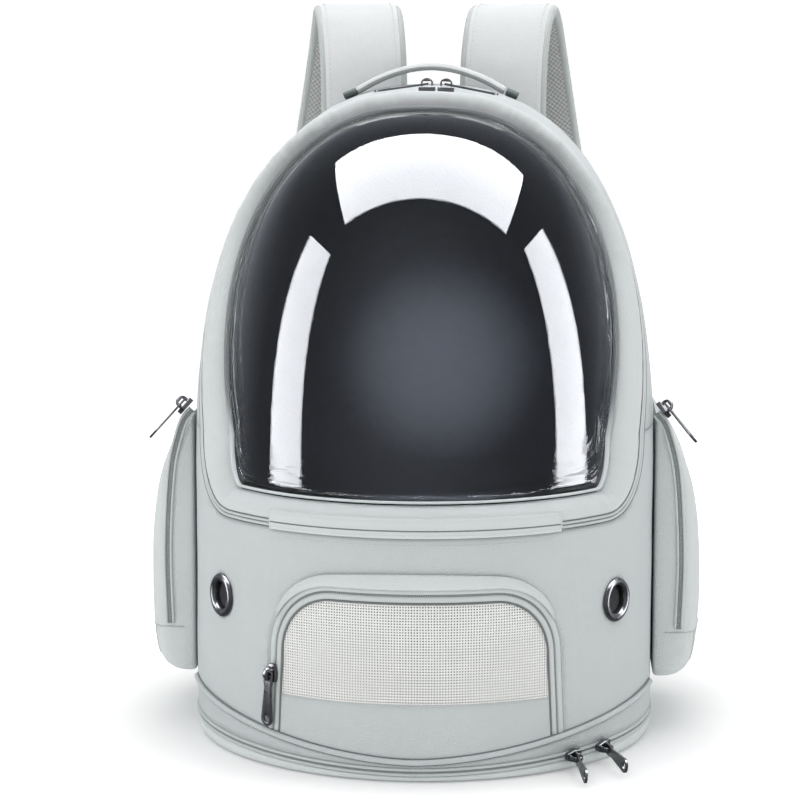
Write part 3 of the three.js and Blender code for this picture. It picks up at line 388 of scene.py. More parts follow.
# %% Hard finishes
def speckled(name, colour, roughness, metallic=0.0, size=400.0, change=0.12, spread=0.08):
    material = bpy.data.materials.new(name)
    tree, shader = shader_of(material)
    place = add_node(tree, "ShaderNodeTexCoord").outputs
    grain = add_node(tree, "ShaderNodeTexNoise", {"Vector": place["Object"], "Scale": size}).outputs[0]
    two_tone(tree, shader, grain, colour, change)
    rough = math_node(tree, "ADD", math_node(tree, "MULTIPLY", grain, 2 * spread), roughness - spread)
    set_inputs(tree, shader, {"Roughness": rough, "Metallic": metallic})
    return material


gunmetal = speckled("gunmetal", (0.15, 0.152, 0.156), 0.30, metallic=1.0, change=0.2)
plastic = speckled("grey plastic", (0.33, 0.36, 0.355), 0.45)
thread = speckled("thread", (0.60, 0.635, 0.625), 0.6, size=900.0)
tooth_plastic = speckled("zip teeth", (0.36, 0.385, 0.38), 0.4, size=900.0)
net_thread = speckled("net thread", (0.87, 0.87, 0.85), 0.55, size=700.0, change=0.06)

clear = speckled("clear dome", (0.95, 0.965, 0.98), 0.012, size=30.0, change=0.01, spread=0.01)
set_inputs(*shader_of(clear), {"Transmission Weight": 1.0, "IOR": 1.46})
FILM_NOISE, FILM_BUMP = {"Scale": 1.0, "Detail": 3.0}, 0.7


def ripple(material, attribute, along, across, depth):
    """Streaks along an edge of a clear film, as strong as the attribute that tells how near the edge is."""
    tree, shader = shader_of(material)
    near = add_node(tree, "ShaderNodeAttribute", attribute_name=attribute).outputs["Fac"]
    place = add_node(tree, "ShaderNodeTexCoord")
    split = add_node(tree, "ShaderNodeSeparateXYZ", {0: place.outputs["UV"]})
    join = add_node(tree, "ShaderNodeCombineXYZ", {0: math_node(tree, "MULTIPLY", near, across),
                                                   1: math_node(tree, "MULTIPLY", split.outputs["Y"], along)})
    streaks = add_node(tree, "ShaderNodeTexNoise", {"Vector": join.outputs[0], **FILM_NOISE})
    height = math_node(tree, "MULTIPLY", streaks.outputs[0], near)
    bump = add_node(tree, "ShaderNodeBump", {"Strength": FILM_BUMP, "Distance": depth * MM, "Height": height})
    set_inputs(tree, shader, {"Normal": bump.outputs[0]})


ripple(clear, "film_edge", along=22.0, across=7.0, depth=1.2)
print("finishes in all:", len(bpy.data.materials))

# %% [markdown]
# ## Rows that follow a seam
# Zip teeth and stitches repeat along a path. A Geometry Nodes tree does that well: it takes a chain of
# points whose attribute says which way is out of the cloth, spaces new points evenly along it, and sets
# one small bead on each, turned to the path. The result is made real and turned into a plain mesh.

# %% The row tree
def new_tree(title, sizes):
    """A tree from geometry to geometry with named sizes and a finish, and the inputs' identifiers."""
    tree = bpy.data.node_groups.new(title, "GeometryNodeTree")
    add = tree.interface.new_socket
    add("Geometry", in_out="INPUT", socket_type="NodeSocketGeometry")
    inputs = {}
    for name, value in sizes.items():
        socket = add(name, in_out="INPUT", socket_type="NodeSocketFloat")
        socket.default_value = value
        inputs[name] = socket.identifier
    inputs["Finish"] = add("Finish", in_out="INPUT", socket_type="NodeSocketMaterial").identifier
    add("Geometry", in_out="OUTPUT", socket_type="NodeSocketGeometry")
    return tree, inputs


def end_tree(tree, start, grown_part):
    """Makes what has grown real and smooth, and gives it its finish."""
    real = add_node(tree, "GeometryNodeRealizeInstances", {0: grown_part})
    smooth = add_node(tree, "GeometryNodeSetShadeSmooth", {0: real.outputs[0]})
    finish = add_node(tree, "GeometryNodeSetMaterial", {0: smooth.outputs[0], "Material": start["Finish"]})
    add_node(tree, "NodeGroupOutput", {0: finish.outputs[0]})


def build_row_tree():
    sizes = {"Pitch": 0.003, "Length": 0.002, "Width": 0.0005, "Height": 0.0004}
    tree, inputs = new_tree("Row along a seam", sizes)
    start = add_node(tree, "NodeGroupInput").outputs
    curve = add_node(tree, "GeometryNodeMeshToCurve", {0: start["Geometry"]})
    spaced = add_node(tree, "GeometryNodeResampleCurve",
                      {"Curve": curve.outputs[0], "Length": start["Pitch"]}, mode="LENGTH")
    outward = add_node(tree, "GeometryNodeInputNamedAttribute", {"Name": "outward"}, data_type="FLOAT_VECTOR")
    tangent = add_node(tree, "GeometryNodeInputTangent")
    turn = add_node(tree, "FunctionNodeAxesToRotation", {0: outward.outputs[0], 1: tangent.outputs[0]},
                    primary_axis="Z", secondary_axis="X")
    bead = add_node(tree, "GeometryNodeMeshUVSphere", {"Segments": 8, "Rings": 4, "Radius": 0.5})
    size = add_node(tree, "ShaderNodeCombineXYZ",
                    {"X": start["Length"], "Y": start["Width"], "Z": start["Height"]})
    place = add_node(tree, "GeometryNodeInstanceOnPoints",
                     {"Points": spaced.outputs[0], "Instance": bead.outputs["Mesh"],
                      "Rotation": turn.outputs[0], "Scale": size.outputs[0]})
    end_tree(tree, start, place.outputs[0])
    return tree, inputs


row_tree, row_inputs = build_row_tree()


def chain_piece(name, chains):
    """Chains of (point, outward) pairs as edges, with the outward direction kept on each point."""
    mesh = bpy.data.meshes.new(name)
    verts, edges, outs = [], [], []
    for chain in chains:
        first = len(verts)
        verts += [point * MM for point, _ in chain]
        outs += [out for _, out in chain]
        edges += [(i, i + 1) for i in range(first, len(verts) - 1)]
    mesh.from_pydata(verts, edges, [])
    kept = mesh.attributes.new("outward", "FLOAT_VECTOR", "POINT")
    kept.data.foreach_set("vector", [c for out in outs for c in out])
    return new_piece(name, mesh)


def plain_mesh(piece):
    """Keeps what a piece's modifiers make as its own mesh."""
    ready = piece.evaluated_get(bpy.context.evaluated_depsgraph_get())
    mesh = bpy.data.meshes.new_from_object(ready)
    piece.modifiers.clear()
    old = piece.data
    piece.data = mesh
    bpy.data.meshes.remove(old)
    return piece


def grown(piece, tree, values):
    """Runs a tree on a piece and keeps the result as a plain mesh."""
    modifier = piece.modifiers.new("grow", "NODES")
    modifier.node_group = tree
    for identifier, value in values.items():
        modifier[identifier] = value
    return plain_mesh(piece)


def row(name, chains, pitch, size, finish, slot):
    sizes = zip(("Pitch", "Length", "Width", "Height"), (pitch, *size))
    values = {row_inputs[title]: value * MM for title, value in sizes}
    values[row_inputs["Finish"]] = finish
    settle(grown(chain_piece(name, chains), row_tree, values), slot)


STITCH_PITCH = 3.4
STITCH = (2.5, 0.55, 0.5)
TOOTH_PITCH = 1.35
TOOTH_LENGTH, TOOTH_HEIGHT = 0.85, 1.0


def stitches(name, chains, slot="trim"):
    row(name, chains, STITCH_PITCH, STITCH, thread, slot)


print("row inputs:", sorted(row_inputs))

# %% [markdown]
# ## Camera, floor and light
# The photograph was taken from a little right of the middle, slightly above, with a long lens. The floor
# is a plain pale sheet that glows a little, less near the bag: a painted shadow round its foot. Light comes
# softly from all round; for mirror-like rays the room in front is dark, as a studio is behind its lamps,
# and three panels stand there to be seen in the dome. Light that enters through a clear shell is lost by
# the renderer, so a weak lamp inside stands for it.

# %% Camera and floor
LENS, SENSOR = 121.05, 36.0
CAMERA_PLACE, CAMERA_TILT, CAMERA_TURN = (0.0815, -1.728, 0.462), math.radians(82.0), math.radians(3.2)
FLOOR_HALF, FLOOR_Z, FLOOR_GLOW = 40.0, -0.0005, 0.49
SHADE_MIDDLE, SHADE_NEAR, SHADE_FAR = (0.0, 0.05, 0.0), 0.12, 0.30
WHITE = (1, 1, 1, 1)
camera = bpy.data.objects.new("camera", bpy.data.cameras.new("camera"))
camera.data.lens, camera.data.sensor_width = LENS, SENSOR
camera.location = CAMERA_PLACE
camera.rotation_euler = (CAMERA_TILT, 0, CAMERA_TURN)
scene.collection.objects.link(camera)
scene.camera = camera
scene.view_settings.view_transform = "Standard"

pale_floor = speckled("pale floor", (0.93, 0.93, 0.93), 0.9, size=3.0, change=0.01)
floor_tree, floor_shader = shader_of(pale_floor)
# The floor's glow fades out near the bag: a painted shadow round its foot.
floor_place = add_node(floor_tree, "ShaderNodeTexCoord").outputs["Object"]
distance = add_node(floor_tree, "ShaderNodeVectorMath", {0: floor_place, 1: SHADE_MIDDLE},
                    operation="DISTANCE")
floor_glow_and_painted_shadow = map_range(floor_tree, distance.outputs["Value"], SHADE_NEAR, SHADE_FAR, 0.0, FLOOR_GLOW)
set_inputs(floor_tree, floor_shader, {"Emission Color": WHITE, "Emission Strength": floor_glow_and_painted_shadow})
floor_mesh = bpy.data.meshes.new("floor")
floor_corners = [(x * FLOOR_HALF, y * FLOOR_HALF, FLOOR_Z) for x, y in ((-1, -1), (1, -1), (1, 1), (-1, 1))]
floor_mesh.from_pydata(floor_corners, [], [(0, 1, 2, 3)])
floor_mesh.materials.append(pale_floor)
floor = new_piece("floor", floor_mesh)
floor.visible_glossy = floor.visible_transmission = False

# %% The room's light
FILL, SEEN = 0.60, 0.45
ROOM_DARK, ROOM_TINT = 0.2, (0.84, 0.90, 1.0, 1)
ROOM_BACK, BACK_FROM, BACK_TO = 0.45, 0.15, 0.75
LEVEL_FALL, LEVEL_LEAST = 2.2, 0.02
ROOM_GLOW, GLOW_POWER, GLOW_WAY = 0.35, 3.0, (-0.04, -0.965, 0.25)
scene.world = bpy.data.worlds.new("studio")
scene.world.use_nodes = True
sky = scene.world.node_tree


def of_sky(kind, *values):
    return math_node(sky, kind, *values)


ray = add_node(sky, "ShaderNodeLightPath").outputs
heading = add_node(sky, "ShaderNodeTexCoord").outputs["Generated"]
heading_parts = add_node(sky, "ShaderNodeSeparateXYZ", {0: heading}).outputs
mirror_ray = of_sky("MAXIMUM", ray["Is Glossy Ray"], ray["Is Transmission Ray"])
soft_fill = of_sky("MULTIPLY", of_sky("SUBTRACT", 1.0, mirror_ray), FILL)
seen = of_sky("MULTIPLY", ray["Is Camera Ray"], SEEN)
behind = map_range(sky, heading_parts["Y"], BACK_FROM, BACK_TO, 0.0, ROOM_BACK, kind="LINEAR")
steepness = of_sky("MULTIPLY", of_sky("ABSOLUTE", heading_parts["Z"]), LEVEL_FALL)
far_side = of_sky("MULTIPLY", behind, of_sky("MAXIMUM", of_sky("SUBTRACT", 1.0, steepness), LEVEL_LEAST))
toward_lens = add_node(sky, "ShaderNodeVectorMath", {0: heading, 1: GLOW_WAY}, operation="DOT_PRODUCT")
facing = of_sky("POWER", of_sky("MAXIMUM", toward_lens.outputs["Value"], 0.0), GLOW_POWER)
glow = of_sky("ADD", of_sky("MULTIPLY", facing, ROOM_GLOW), ROOM_DARK)
room = of_sky("MULTIPLY", mirror_ray, of_sky("ADD", far_side, glow))
strength = of_sky("ADD", of_sky("ADD", soft_fill, seen), room)
tint = add_node(sky, "ShaderNodeMix", {0: mirror_ray, 6: WHITE, 7: ROOM_TINT}, data_type="RGBA")
set_inputs(sky, sky.nodes["Background"], {"Strength": strength, "Color": tint.outputs[2]})
print("nodes in the room's light:", len(sky.nodes))

# %% Lamps
DOME = (0, -0.06, 0.32)
PANEL_COLOUR, INSIDE_COLOUR = (0.95, 0.965, 1.0), (0.92, 0.95, 1.0)
INSIDE_PLACE, INSIDE_POWER = (0.006, -0.03, 0.228), 2.6
INSIDE_ANGLE, INSIDE_RADIUS = math.radians(54.5), 0.005


def new_lamp(name, kind, place, power, colour):
    lamp = bpy.data.objects.new(name, bpy.data.lights.new(name, kind))
    lamp.location = place
    lamp.data.energy, lamp.data.color = power, colour
    scene.collection.objects.link(lamp)
    return lamp


def panel_light(name, place, aim, width, height, power, only_mirrored=False):
    lamp = new_lamp(name, "AREA", place, power, PANEL_COLOUR if only_mirrored else (1, 1, 1))
    lamp.data.shape = "RECTANGLE"
    lamp.data.size, lamp.data.size_y = width, height
    lamp.rotation_euler = (Vector(aim) - Vector(place)).to_track_quat("-Z", "Y").to_euler()
    if only_mirrored:
        lamp.visible_diffuse = False
    else:
        lamp.visible_glossy = lamp.visible_transmission = False


panel_light("soft key", (-0.9, -1.9, 2.0), (0, 0, 0.25), 1.6, 1.6, 11)
panel_light("top light", (0.2, 0.3, 2.4), (0, 0, 0.2), 1.8, 1.8, 10)
panel_light("mirrored top panel", (0.07, 0.08, 1.42), (0.07, 0.29, 0.42), 2.1, 1.2, 108, only_mirrored=True)
panel_light("mirrored left panel", (-1.27, -0.36, 0.42), DOME, 0.48, 1.32, 22, only_mirrored=True)
panel_light("mirrored right panel", (1.29, -0.12, 0.42), DOME, 0.48, 1.32, 22, only_mirrored=True)
inside_lamp = new_lamp("light through the window", "SPOT", INSIDE_PLACE, INSIDE_POWER, INSIDE_COLOUR)
inside_lamp.data.spot_size, inside_lamp.data.spot_blend = INSIDE_ANGLE, 1.0
inside_lamp.data.shadow_soft_size = INSIDE_RADIUS
inside_lamp.rotation_euler = (math.radians(90), 0, 0)
print("lights:", len(bpy.data.lights))

# %% [markdown]
# ## The lower front
# The front wall is one sheet with an opening for the door and two round holes for the vents. Its outline
# and holes are drawn flat, as a pattern cutter would, filled with triangles, and then wrapped round the
# body. A little slow noise keeps it from looking like moulded plastic, and it fades out at the seams.

# %% The base seam and the door outline
SEAM_FRONT_Z, SEAM_SIDE_Z, SEAM_POWER = 13.0, 36.0, 0.8
BASE_ZIP_PART, BASE_ZIP_HEIGHT = 0.3, 5.2
DOOR_HALF, DOOR_LEAN, DOOR_TOP, DOOR_CORNER = 91.0, 0.055, 112.0, 36.0
DOOR_NET_LOW, DOOR_ZIP_WIDTH, DOOR_ZIP_FOOT = 49.0, 10.0, 25.0
DOOR_LEG_TOP = DOOR_TOP - DOOR_CORNER
HATCH_Z, HATCH_Y, HATCH_CORNER, HATCH_CORNER_ALONG = 153.5, 55.0, 50.0, 137.0
HATCH_CORNER_Z = HATCH_Z + HATCH_CORNER
HATCH_SIDE_ALONG = HATCH_CORNER_ALONG + HATCH_CORNER
VENT_ANGLE, VENT_Z, VENT_HOLE = math.radians(56), 102.0, 10.7


def seam_z(y):
    ahead = max(0.0, FRONT_CENTRE_Y - y) / BODY_RADIUS
    return SEAM_FRONT_Z + (SEAM_SIDE_Z - SEAM_FRONT_Z) * max(0.0, 1 - ahead ** 2) ** SEAM_POWER


def front_seam_z(angle):
    return seam_z(front_point(angle, 0).y)


def base_zip_low(y):
    return BASE_ZIP_PART * seam_z(y)


def cloth_low(y):
    return base_zip_low(y) + BASE_ZIP_HEIGHT + GAP


def door_half(z):
    return DOOR_HALF - DOOR_LEAN * min(z, DOOR_LEG_TOP)


DOOR_SHOULDER = door_half(DOOR_LEG_TOP) - DOOR_CORNER


def door_route(fine=4):
    """Stations round the door from the left foot to the right: flat (along, z) by distance past its edge."""
    leg = [(lambda across, z=z: (door_half(z) + across, z))
           for z in steps(DOOR_ZIP_FOOT, DOOR_LEG_TOP, 5 * fine)[:-1]]
    bend = [(lambda across, t=t: (DOOR_SHOULDER + (DOOR_CORNER + across) * math.cos(t),
                                  DOOR_LEG_TOP + (DOOR_CORNER + across) * math.sin(t)))
            for t in steps(0, math.pi / 2, 6 * fine)[:-1]]
    top = [(lambda across, a=a: (a, DOOR_TOP + across))
           for a in steps(DOOR_SHOULDER, -DOOR_SHOULDER, 10 * fine)]
    right = leg + bend
    left = [(lambda across, at=at: (-at(across)[0], at(across)[1])) for at in reversed(right)]
    return list(reversed(right + top + left))


def door_places(fine=4):
    """The same stations on the body's surface, as functions of the distances across and out."""
    return [(lambda across, out, at=at: wall_point(*at(across), out)) for at in door_route(fine)]


# %% Cut, fill and wrap the front wall
FILL_SPACING, EDGE_CLEARANCE = 5.0, 0.6
CUT_TOLERANCE = 1e-4
DRAPE_SWELL, DRAPE_REACH, DRAPE_QUICK_SHARE = 0.55, 18.0, 0.5
DRAPE_WAVES = ((62, 50, 3.1), (23, 30, 7.7))


def flat_fill(outline, holes, spacing):
    """Triangles inside a flat outline and outside its holes. Gives points, faces and distances to an edge."""
    points, edges = [], []
    for loop in (outline, *holes):
        first, count = len(points), len(loop)
        edges += [(first + i, first + (i + 1) % count) for i in range(count)]
        points += loop
    tree = kdtree.KDTree(len(points))
    for i, (a, z) in enumerate(points):
        tree.insert((a, z, 0), i)
    tree.balance()
    low, high = ([pick(p[i] for p in outline) for i in (0, 1)] for pick in (min, max))
    for i in range(int((high[0] - low[0]) / spacing) + 1):
        for j in range(int((high[1] - low[1]) / spacing) + 1):
            p = (low[0] + (i + 0.5 * (j % 2)) * spacing, low[1] + j * spacing)
            if tree.find((*p, 0))[2] > EDGE_CLEARANCE * spacing:
                points.append(p)
    filled = delaunay_2d_cdt([Vector(p) for p in points], edges, [], 0, CUT_TOLERANCE)
    flat = [tuple(v) for v in filled[0]]
    faces = []
    for face in filled[2]:
        middle = [sum(flat[i][k] for i in face) / len(face) for k in (0, 1)]
        if inside(outline, middle) and not any(inside(hole, middle) for hole in holes):
            faces.append(tuple(face))
    return flat, faces, [tree.find((*p, 0))[2] for p in flat]


def inside(loop, point):
    hit = False
    for (a, z), (b, w) in zip(loop, loop[1:] + loop[:1]):
        if (z > point[1]) != (w > point[1]):
            if point[0] < a + (point[1] - z) / (w - z) * (b - a):
                hit = not hit
    return hit


def drape(along, z, edge):
    """How far the cloth stands out: a slow uneven swell that dies at the seams."""
    slow, quick = (uneven(along / wide, z / high, seed) for wide, high, seed in DRAPE_WAVES)
    return DRAPE_SWELL * (slow + DRAPE_QUICK_SHARE * quick) * min(1.0, edge / DRAPE_REACH)


wall_end = along_at_depth(PANEL_END_Y)
low_edge = [(a, cloth_low(wall_point(a, 0).y)) for a in steps(-wall_end, wall_end, 130)]
side_top = [(a, HATCH_CORNER_Z - GAP) for a in steps(wall_end, HATCH_SIDE_ALONG, 14)[:-1]]
corner = [(HATCH_CORNER_ALONG + HATCH_CORNER * math.sin(t), HATCH_CORNER_Z - HATCH_CORNER * math.cos(t) - GAP)
          for t in steps(math.pi / 2, 0, 16)]
right_edge = side_top + corner
top_edge = [(a, HATCH_Z - GAP) for a in steps(HATCH_CORNER_ALONG, -HATCH_CORNER_ALONG, 70)[1:-1]]
outline = low_edge + right_edge + top_edge + [(-a, z) for a, z in reversed(right_edge)]
door_edge = [station(DOOR_ZIP_WIDTH) for station in door_route()]
door_foot = [(a, seam_z(wall_point(a, 0).y)) for a in steps(door_edge[-1][0], door_edge[0][0], 40)]
vents = [[(sign * VENT_ANGLE * BODY_RADIUS + VENT_HOLE * x, VENT_Z + VENT_HOLE * y)
          for x, y in ring_section(1, 28)] for _, sign in SIDES]
flat, faces, edge = flat_fill(outline, [door_edge + door_foot, *vents], FILL_SPACING)
verts = [wall_point(a, z, drape(a, z, d)) for (a, z), d in zip(flat, edge)]
uvs = [[flat[i] for i in face] for face in faces]
front_wall = mesh_piece("front_wall", verts, faces, uvs, [cloth, dark_lining], closed=False)
settle(thicken(front_wall, CLOTH), "cloth", "front_panel")

# %% [markdown]
# ## The side and top band
# One long strip of cloth goes up one side, over the top and down the other, between the hatch and the
# back. It is crowned across its width, because it is stretched over a soft edge. It is skinned from lines
# across it.

# %% Side and top band
CROWN = ((0.0, 0.0), (0.32, 2.4), (0.7, 4.0), (1.0, 3.0))
HATCH_TOP_ALONG = along_at_depth(HATCH_Y)
BAND_SWELL, BAND_FADE = 0.7, 8
SIDE_RUN, ARCH_MIDDLE_RUN, ARCH_RUN = 170, 400, 250
band_parts = steps(0, 1, 22)


def hatch_edge_along(z):
    part = min(1.0, (z - HATCH_CORNER_Z) / (BODY_TOP - HATCH_CORNER_Z))
    return HATCH_SIDE_ALONG + (HATCH_TOP_ALONG - HATCH_SIDE_ALONG) * part


def crown_at(part):
    """A cubic through the four crown rows."""
    total = 0.0
    for here, rise in CROWN:
        share = rise
        for other, _ in CROWN:
            if other != here:
                share *= (part - other) / (here - other)
        total += share
    return total


def band_swell(part, run):
    fade = min(1.0, part * BAND_FADE, (1 - part) * BAND_FADE)
    return BAND_SWELL * fade * uneven(run / 45, part * 4, 1.3)


def band_line(front, point):
    return [point(front + (GUSSET_BACK_Y - front) * part, part) for part in band_parts]


def band_side(sign, up):
    def point(y, part):
        z = cloth_low(y) + (HATCH_CORNER_Z - cloth_low(y)) * up
        return side_point(sign, y, z, band_swell(part, sign * up * SIDE_RUN))
    return band_line(PANEL_END_Y + GAP, point)


def band_arch(turn):
    z = arch_point(turn, 0).z
    front = wall_point(hatch_edge_along(z), z).y + GAP

    def point(y, part):
        swell = band_swell(part, ARCH_MIDDLE_RUN + turn * ARCH_RUN)
        flat = arch_point(turn, y, crown_at(part) * math.cos(turn) + swell)
        ahead = max(0.0, FRONT_CENTRE_Y - y)
        return Vector((math.copysign(math.sqrt(max(0.0, flat.x ** 2 - ahead ** 2)), turn), y, flat.z))
    return band_line(front, point)


band_start = math.acos(((HATCH_CORNER_Z + 2 * GAP - SPRING_Z) / (BODY_TOP - SPRING_Z)) ** (ARCH_POWER / 2))
band_lines = [band_side(-1, up) for up in steps(0, 1, 32)]
band_lines += [band_arch(turn) for turn in steps(-band_start, band_start, 120)]
band_lines += [band_side(1, up) for up in steps(1, 0, 32)]
side_band = skin("side_and_top_band", band_lines, [cloth, dark_lining], closed=False, girth_of=lambda p: p.y)
settle(thicken(side_band, CLOTH), "cloth", "gusset")

# %% [markdown]
# ## The hatch rim
# The clear hatch has a padded cloth rim that runs along the lower edge, round two corners and over the
# arch. One section is swept along stations on its edge: flat along the front, a quarter round at each
# corner, then the arch. Fine creases across the roll show that it is cloth pulled round a bend. A flap
# covers the hinge in front.

# %% Stations on the hatch edge
HATCH_LOW_SCALE, HATCH_SIDE_SCALE = 0.583, 1.12
HATCH_FRONT_ANGLE = HATCH_CORNER_ALONG / BODY_RADIUS


def hatch_front(angle):
    return lambda across, out: front_point(angle, HATCH_Z + across * HATCH_LOW_SCALE, out)


def hatch_corner(sign, turn):
    def at(across, out):
        along = HATCH_CORNER_ALONG + (HATCH_CORNER - across * HATCH_SIDE_SCALE) * math.sin(turn)
        z = HATCH_CORNER_Z - (HATCH_CORNER - across * HATCH_LOW_SCALE) * math.cos(turn)
        return wall_point(sign * along, z, out)
    return at


def hatch_arch(sign, part):
    def at(across, out):
        low = (HATCH_CORNER_Z - SPRING_Z) / (BODY_TOP - SPRING_Z + out)
        turn = math.acos(low ** (ARCH_POWER / 2)) * (1 - part)
        edge = hatch_edge_along(arch_point(turn, 0).z)
        scale = HATCH_SIDE_SCALE + (1 - HATCH_SIDE_SCALE) * part
        return wall_point(sign * (edge - across * scale), arch_point(turn, 0, out).z, out)
    return at


def hatch_route(from_angle, fine=1):
    """Stations round the hatch, open below between two equal angles, or all round from angle 0."""
    def half(sign):
        return ([hatch_front(sign * a) for a in steps(from_angle, HATCH_FRONT_ANGLE, 30 * fine)]
                + [hatch_corner(sign, t) for t in steps(0, math.pi / 2, 14 * fine)[1:]]
                + [hatch_arch(sign, p) for p in steps(0, 1, 48 * fine)[1:]])
    left = half(-1)[:-1]
    return half(1) + list(reversed(left[1:] if from_angle == 0 else left))


# %% Rim and piping
RIM_SECTION = ((8.3, -0.2), (13, 1.2), (19, 0.6), (25, -3), (28.5, -7.5), (29.4, -10.7), (26.5, -10.7),
               (23.5, -6), (17, -2.6), (8.3, -2.7))
RIM_INSIDE = -9
CREASE_LEAST, CREASE_FROM, CREASE_REACH = 0.15, 14, 10
CREASE_WAVES = ((0.85, 7, 0.4, 1.0), (0.28, 14, 5.2, 0.7))
PIPING_ACROSS, PIPING_OUT, PIPING_RADIUS = 33, -9, 1.5
rim_route = hatch_route(0)


def crease(i, across):
    """Folds across the roll, deeper towards the window."""
    deep = CREASE_LEAST + (1 - CREASE_LEAST) * min(1.0, max(0.0, across - CREASE_FROM) / CREASE_REACH)
    return deep * sum(share * uneven(i * rate, across / wide, seed)
                      for rate, wide, seed, share in CREASE_WAVES)


rim_section = rounded(RIM_SECTION)
rim_loops = [[at(a, o + (crease(i, a) if o > RIM_INSIDE else 0)) for a, o in rim_section]
             for i, at in enumerate(hatch_route(0, fine=2))]
rim = settle(skin("hatch_rim", rim_loops, [rim_cloth], ring=True), "cloth", "hatch_band")
cord("window_piping", rim_route, PIPING_ACROSS, PIPING_OUT, PIPING_RADIUS, window_cord, "hatch_piping",
     sides=10, ring=True)

# %% Hinge flap
FLAP_ANGLE = math.radians(36)
FLAP_SECTION = ((153, 1.6), (158, 1.5), (164.5, 1.6), (164.8, 2.4), (164, 3.3), (158, 3.6), (153.4, 3.3),
                (152.7, 2.4))
FLAP_STITCHES = ((154.6, 3.55, 0.98), (163.0, 3.55, 0.98), (147.8, 0.15, 0.95))
FLAP_SEAM_Z, FLAP_SEAM_OUT, FLAP_SEAM_RADIUS, FLAP_SEAM_REACH = 157.4, 3.45, 0.5, 0.99


def front_places(z_at, angles):
    """Places along the front, as functions of the distances out of the cloth and up."""
    return [(lambda out, up, a=a, z=z_at(a): front_point(a, z + up, out)) for a in angles]


def front_chain(z_at, out, angles):
    return [(front_point(a, z_at(a), out), Vector((math.sin(a), -math.cos(a), 0))) for a in angles]


flap_section = rounded(FLAP_SECTION, 3)
flap_loops = [[front_point(a, *p) for p in flap_section] for a in steps(-FLAP_ANGLE, FLAP_ANGLE, 60)]
flap = settle(skin("hinge_flap_cloth", flap_loops, [pocket_cloth_painted_light]), "cloth", "hinge_flap")
stitches("hinge_flap_stitches", [
    front_chain(lambda a, z=z: z, out, steps(-FLAP_ANGLE * share, FLAP_ANGLE * share, 80))
    for z, out, share in FLAP_STITCHES])
flap_seam = FLAP_ANGLE * FLAP_SEAM_REACH
flap_places = front_places(lambda a: FLAP_SEAM_Z, steps(-flap_seam, flap_seam, 80))
cord("hinge_flap_seam", flap_places, FLAP_SEAM_OUT, 0, FLAP_SEAM_RADIUS, dark_binding_and_seam_shade)

# %% [markdown]
# ## The clear dome
# The window is a thin blown shell. Rings are drawn from its edge towards a point on its front, on the
# outside and then on the inside, so it is one closed shell of even thickness with smooth reflections. An
# attribute fades from its edge inwards and tells the finish where the film is rippled.

# %% Window
WINDOW_ACROSS, WINDOW_OUT, WINDOW_IN = 30.0, -11.0, -13.0
WINDOW_POLE, LAST_RING, FILM_EDGE = math.radians(35), 0.96, 0.13
pole = Vector((0, -math.cos(WINDOW_POLE), math.sin(WINDOW_POLE)))


def dome_point(edge_point, part, out):
    bend = 2 / ARCH_POWER
    height = BODY_TOP - SPRING_Z + out
    rise = math.asin(min(1.0, (max(0.0, edge_point.z - SPRING_Z) / height) ** (1 / bend)))
    angle = math.atan2(edge_point.x, FRONT_CENTRE_Y - edge_point.y)
    edge = Vector((math.cos(rise) * math.sin(angle), -math.cos(rise) * math.cos(angle), math.sin(rise)))
    way = edge.slerp(pole, part)
    radius = (BODY_RADIUS + out) * math.hypot(way.x, way.y) ** bend
    turn = math.atan2(way.x, -way.y)
    return Vector((radius * math.sin(turn), FRONT_CENTRE_Y - radius * math.cos(turn),
                   SPRING_Z + height * max(0.0, way.z) ** bend))


def dome_ring(part, out):
    return [dome_point(at(WINDOW_ACROSS, out), part, out) for at in rim_route]


dome_parts = steps(0, LAST_RING, 36)
inner = [dome_ring(part, WINDOW_IN) for part in reversed(dome_parts)]
outer = [dome_ring(part, WINDOW_OUT) for part in dome_parts]
tips = [dome_point(rim_route[0](WINDOW_ACROSS, out), 1.0, out) for out in (WINDOW_IN, WINDOW_OUT)]
window = skin("clear_window", inner + outer, [clear], tips=tips)
ring_nearness = [max(0.0, 1 - part / FILM_EDGE) for part in dome_parts]
nearness = [value for value in ring_nearness[::-1] + ring_nearness for _ in rim_route] + [0.0] * len(tips)
window.data.attributes.new("film_edge", "FLOAT", "POINT").data.foreach_set("value", nearness)
settle(window, "clear", "window")

# %% [markdown]
# ## Zips
# Each zip is a tape with two soft lips that nearly meet, and the teeth of the chain show in the slot
# between them. The same section is used on the hatch, the door, the base and the pockets, swept along
# each seam. The hatch's zip has a dark line on each side, and its ends go under the flap.

# %% A zip along any seam
LIP = ((0.0, -0.9), (0.05, 0.1), (0.18, 0.6), (0.55, 0.85), (0.88, 0.65), (0.97, 0.1), (1.0, -1.1))
TAPE_BACK, TOOTH_OUT, TOOTH_OVERLAP = -2.0, -0.35, 0.4


def zip_section(width, slot):
    lip = (width - slot) / 2
    left = [(part * lip, out) for part, out in LIP]
    right = [(width - part * lip, out) for part, out in reversed(LIP)]
    return left + right + [(width, TAPE_BACK), (0.0, TAPE_BACK)]


def seam_chain(places, across, out):
    return [(at(across, out), (at(across, 1) - at(across, 0)).normalized()) for at in places]


def lay_zip(name, places, width, slot=1.2, start=0.0):
    """Lays the tape in place of the zip's solid, from start on across, and the teeth in its middle."""
    section = [(across + start, out) for across, out in zip_section(width, slot)]
    settle(skin(name + "_tape", swept(places, section), [tape_cloth]), "trim", name)
    chain = seam_chain(places, width / 2 + start, TOOTH_OUT)
    tooth = (TOOTH_LENGTH, slot + TOOTH_OVERLAP, TOOTH_HEIGHT)
    row(name + "_teeth", [chain], TOOTH_PITCH, tooth, tooth_plastic, "trim")


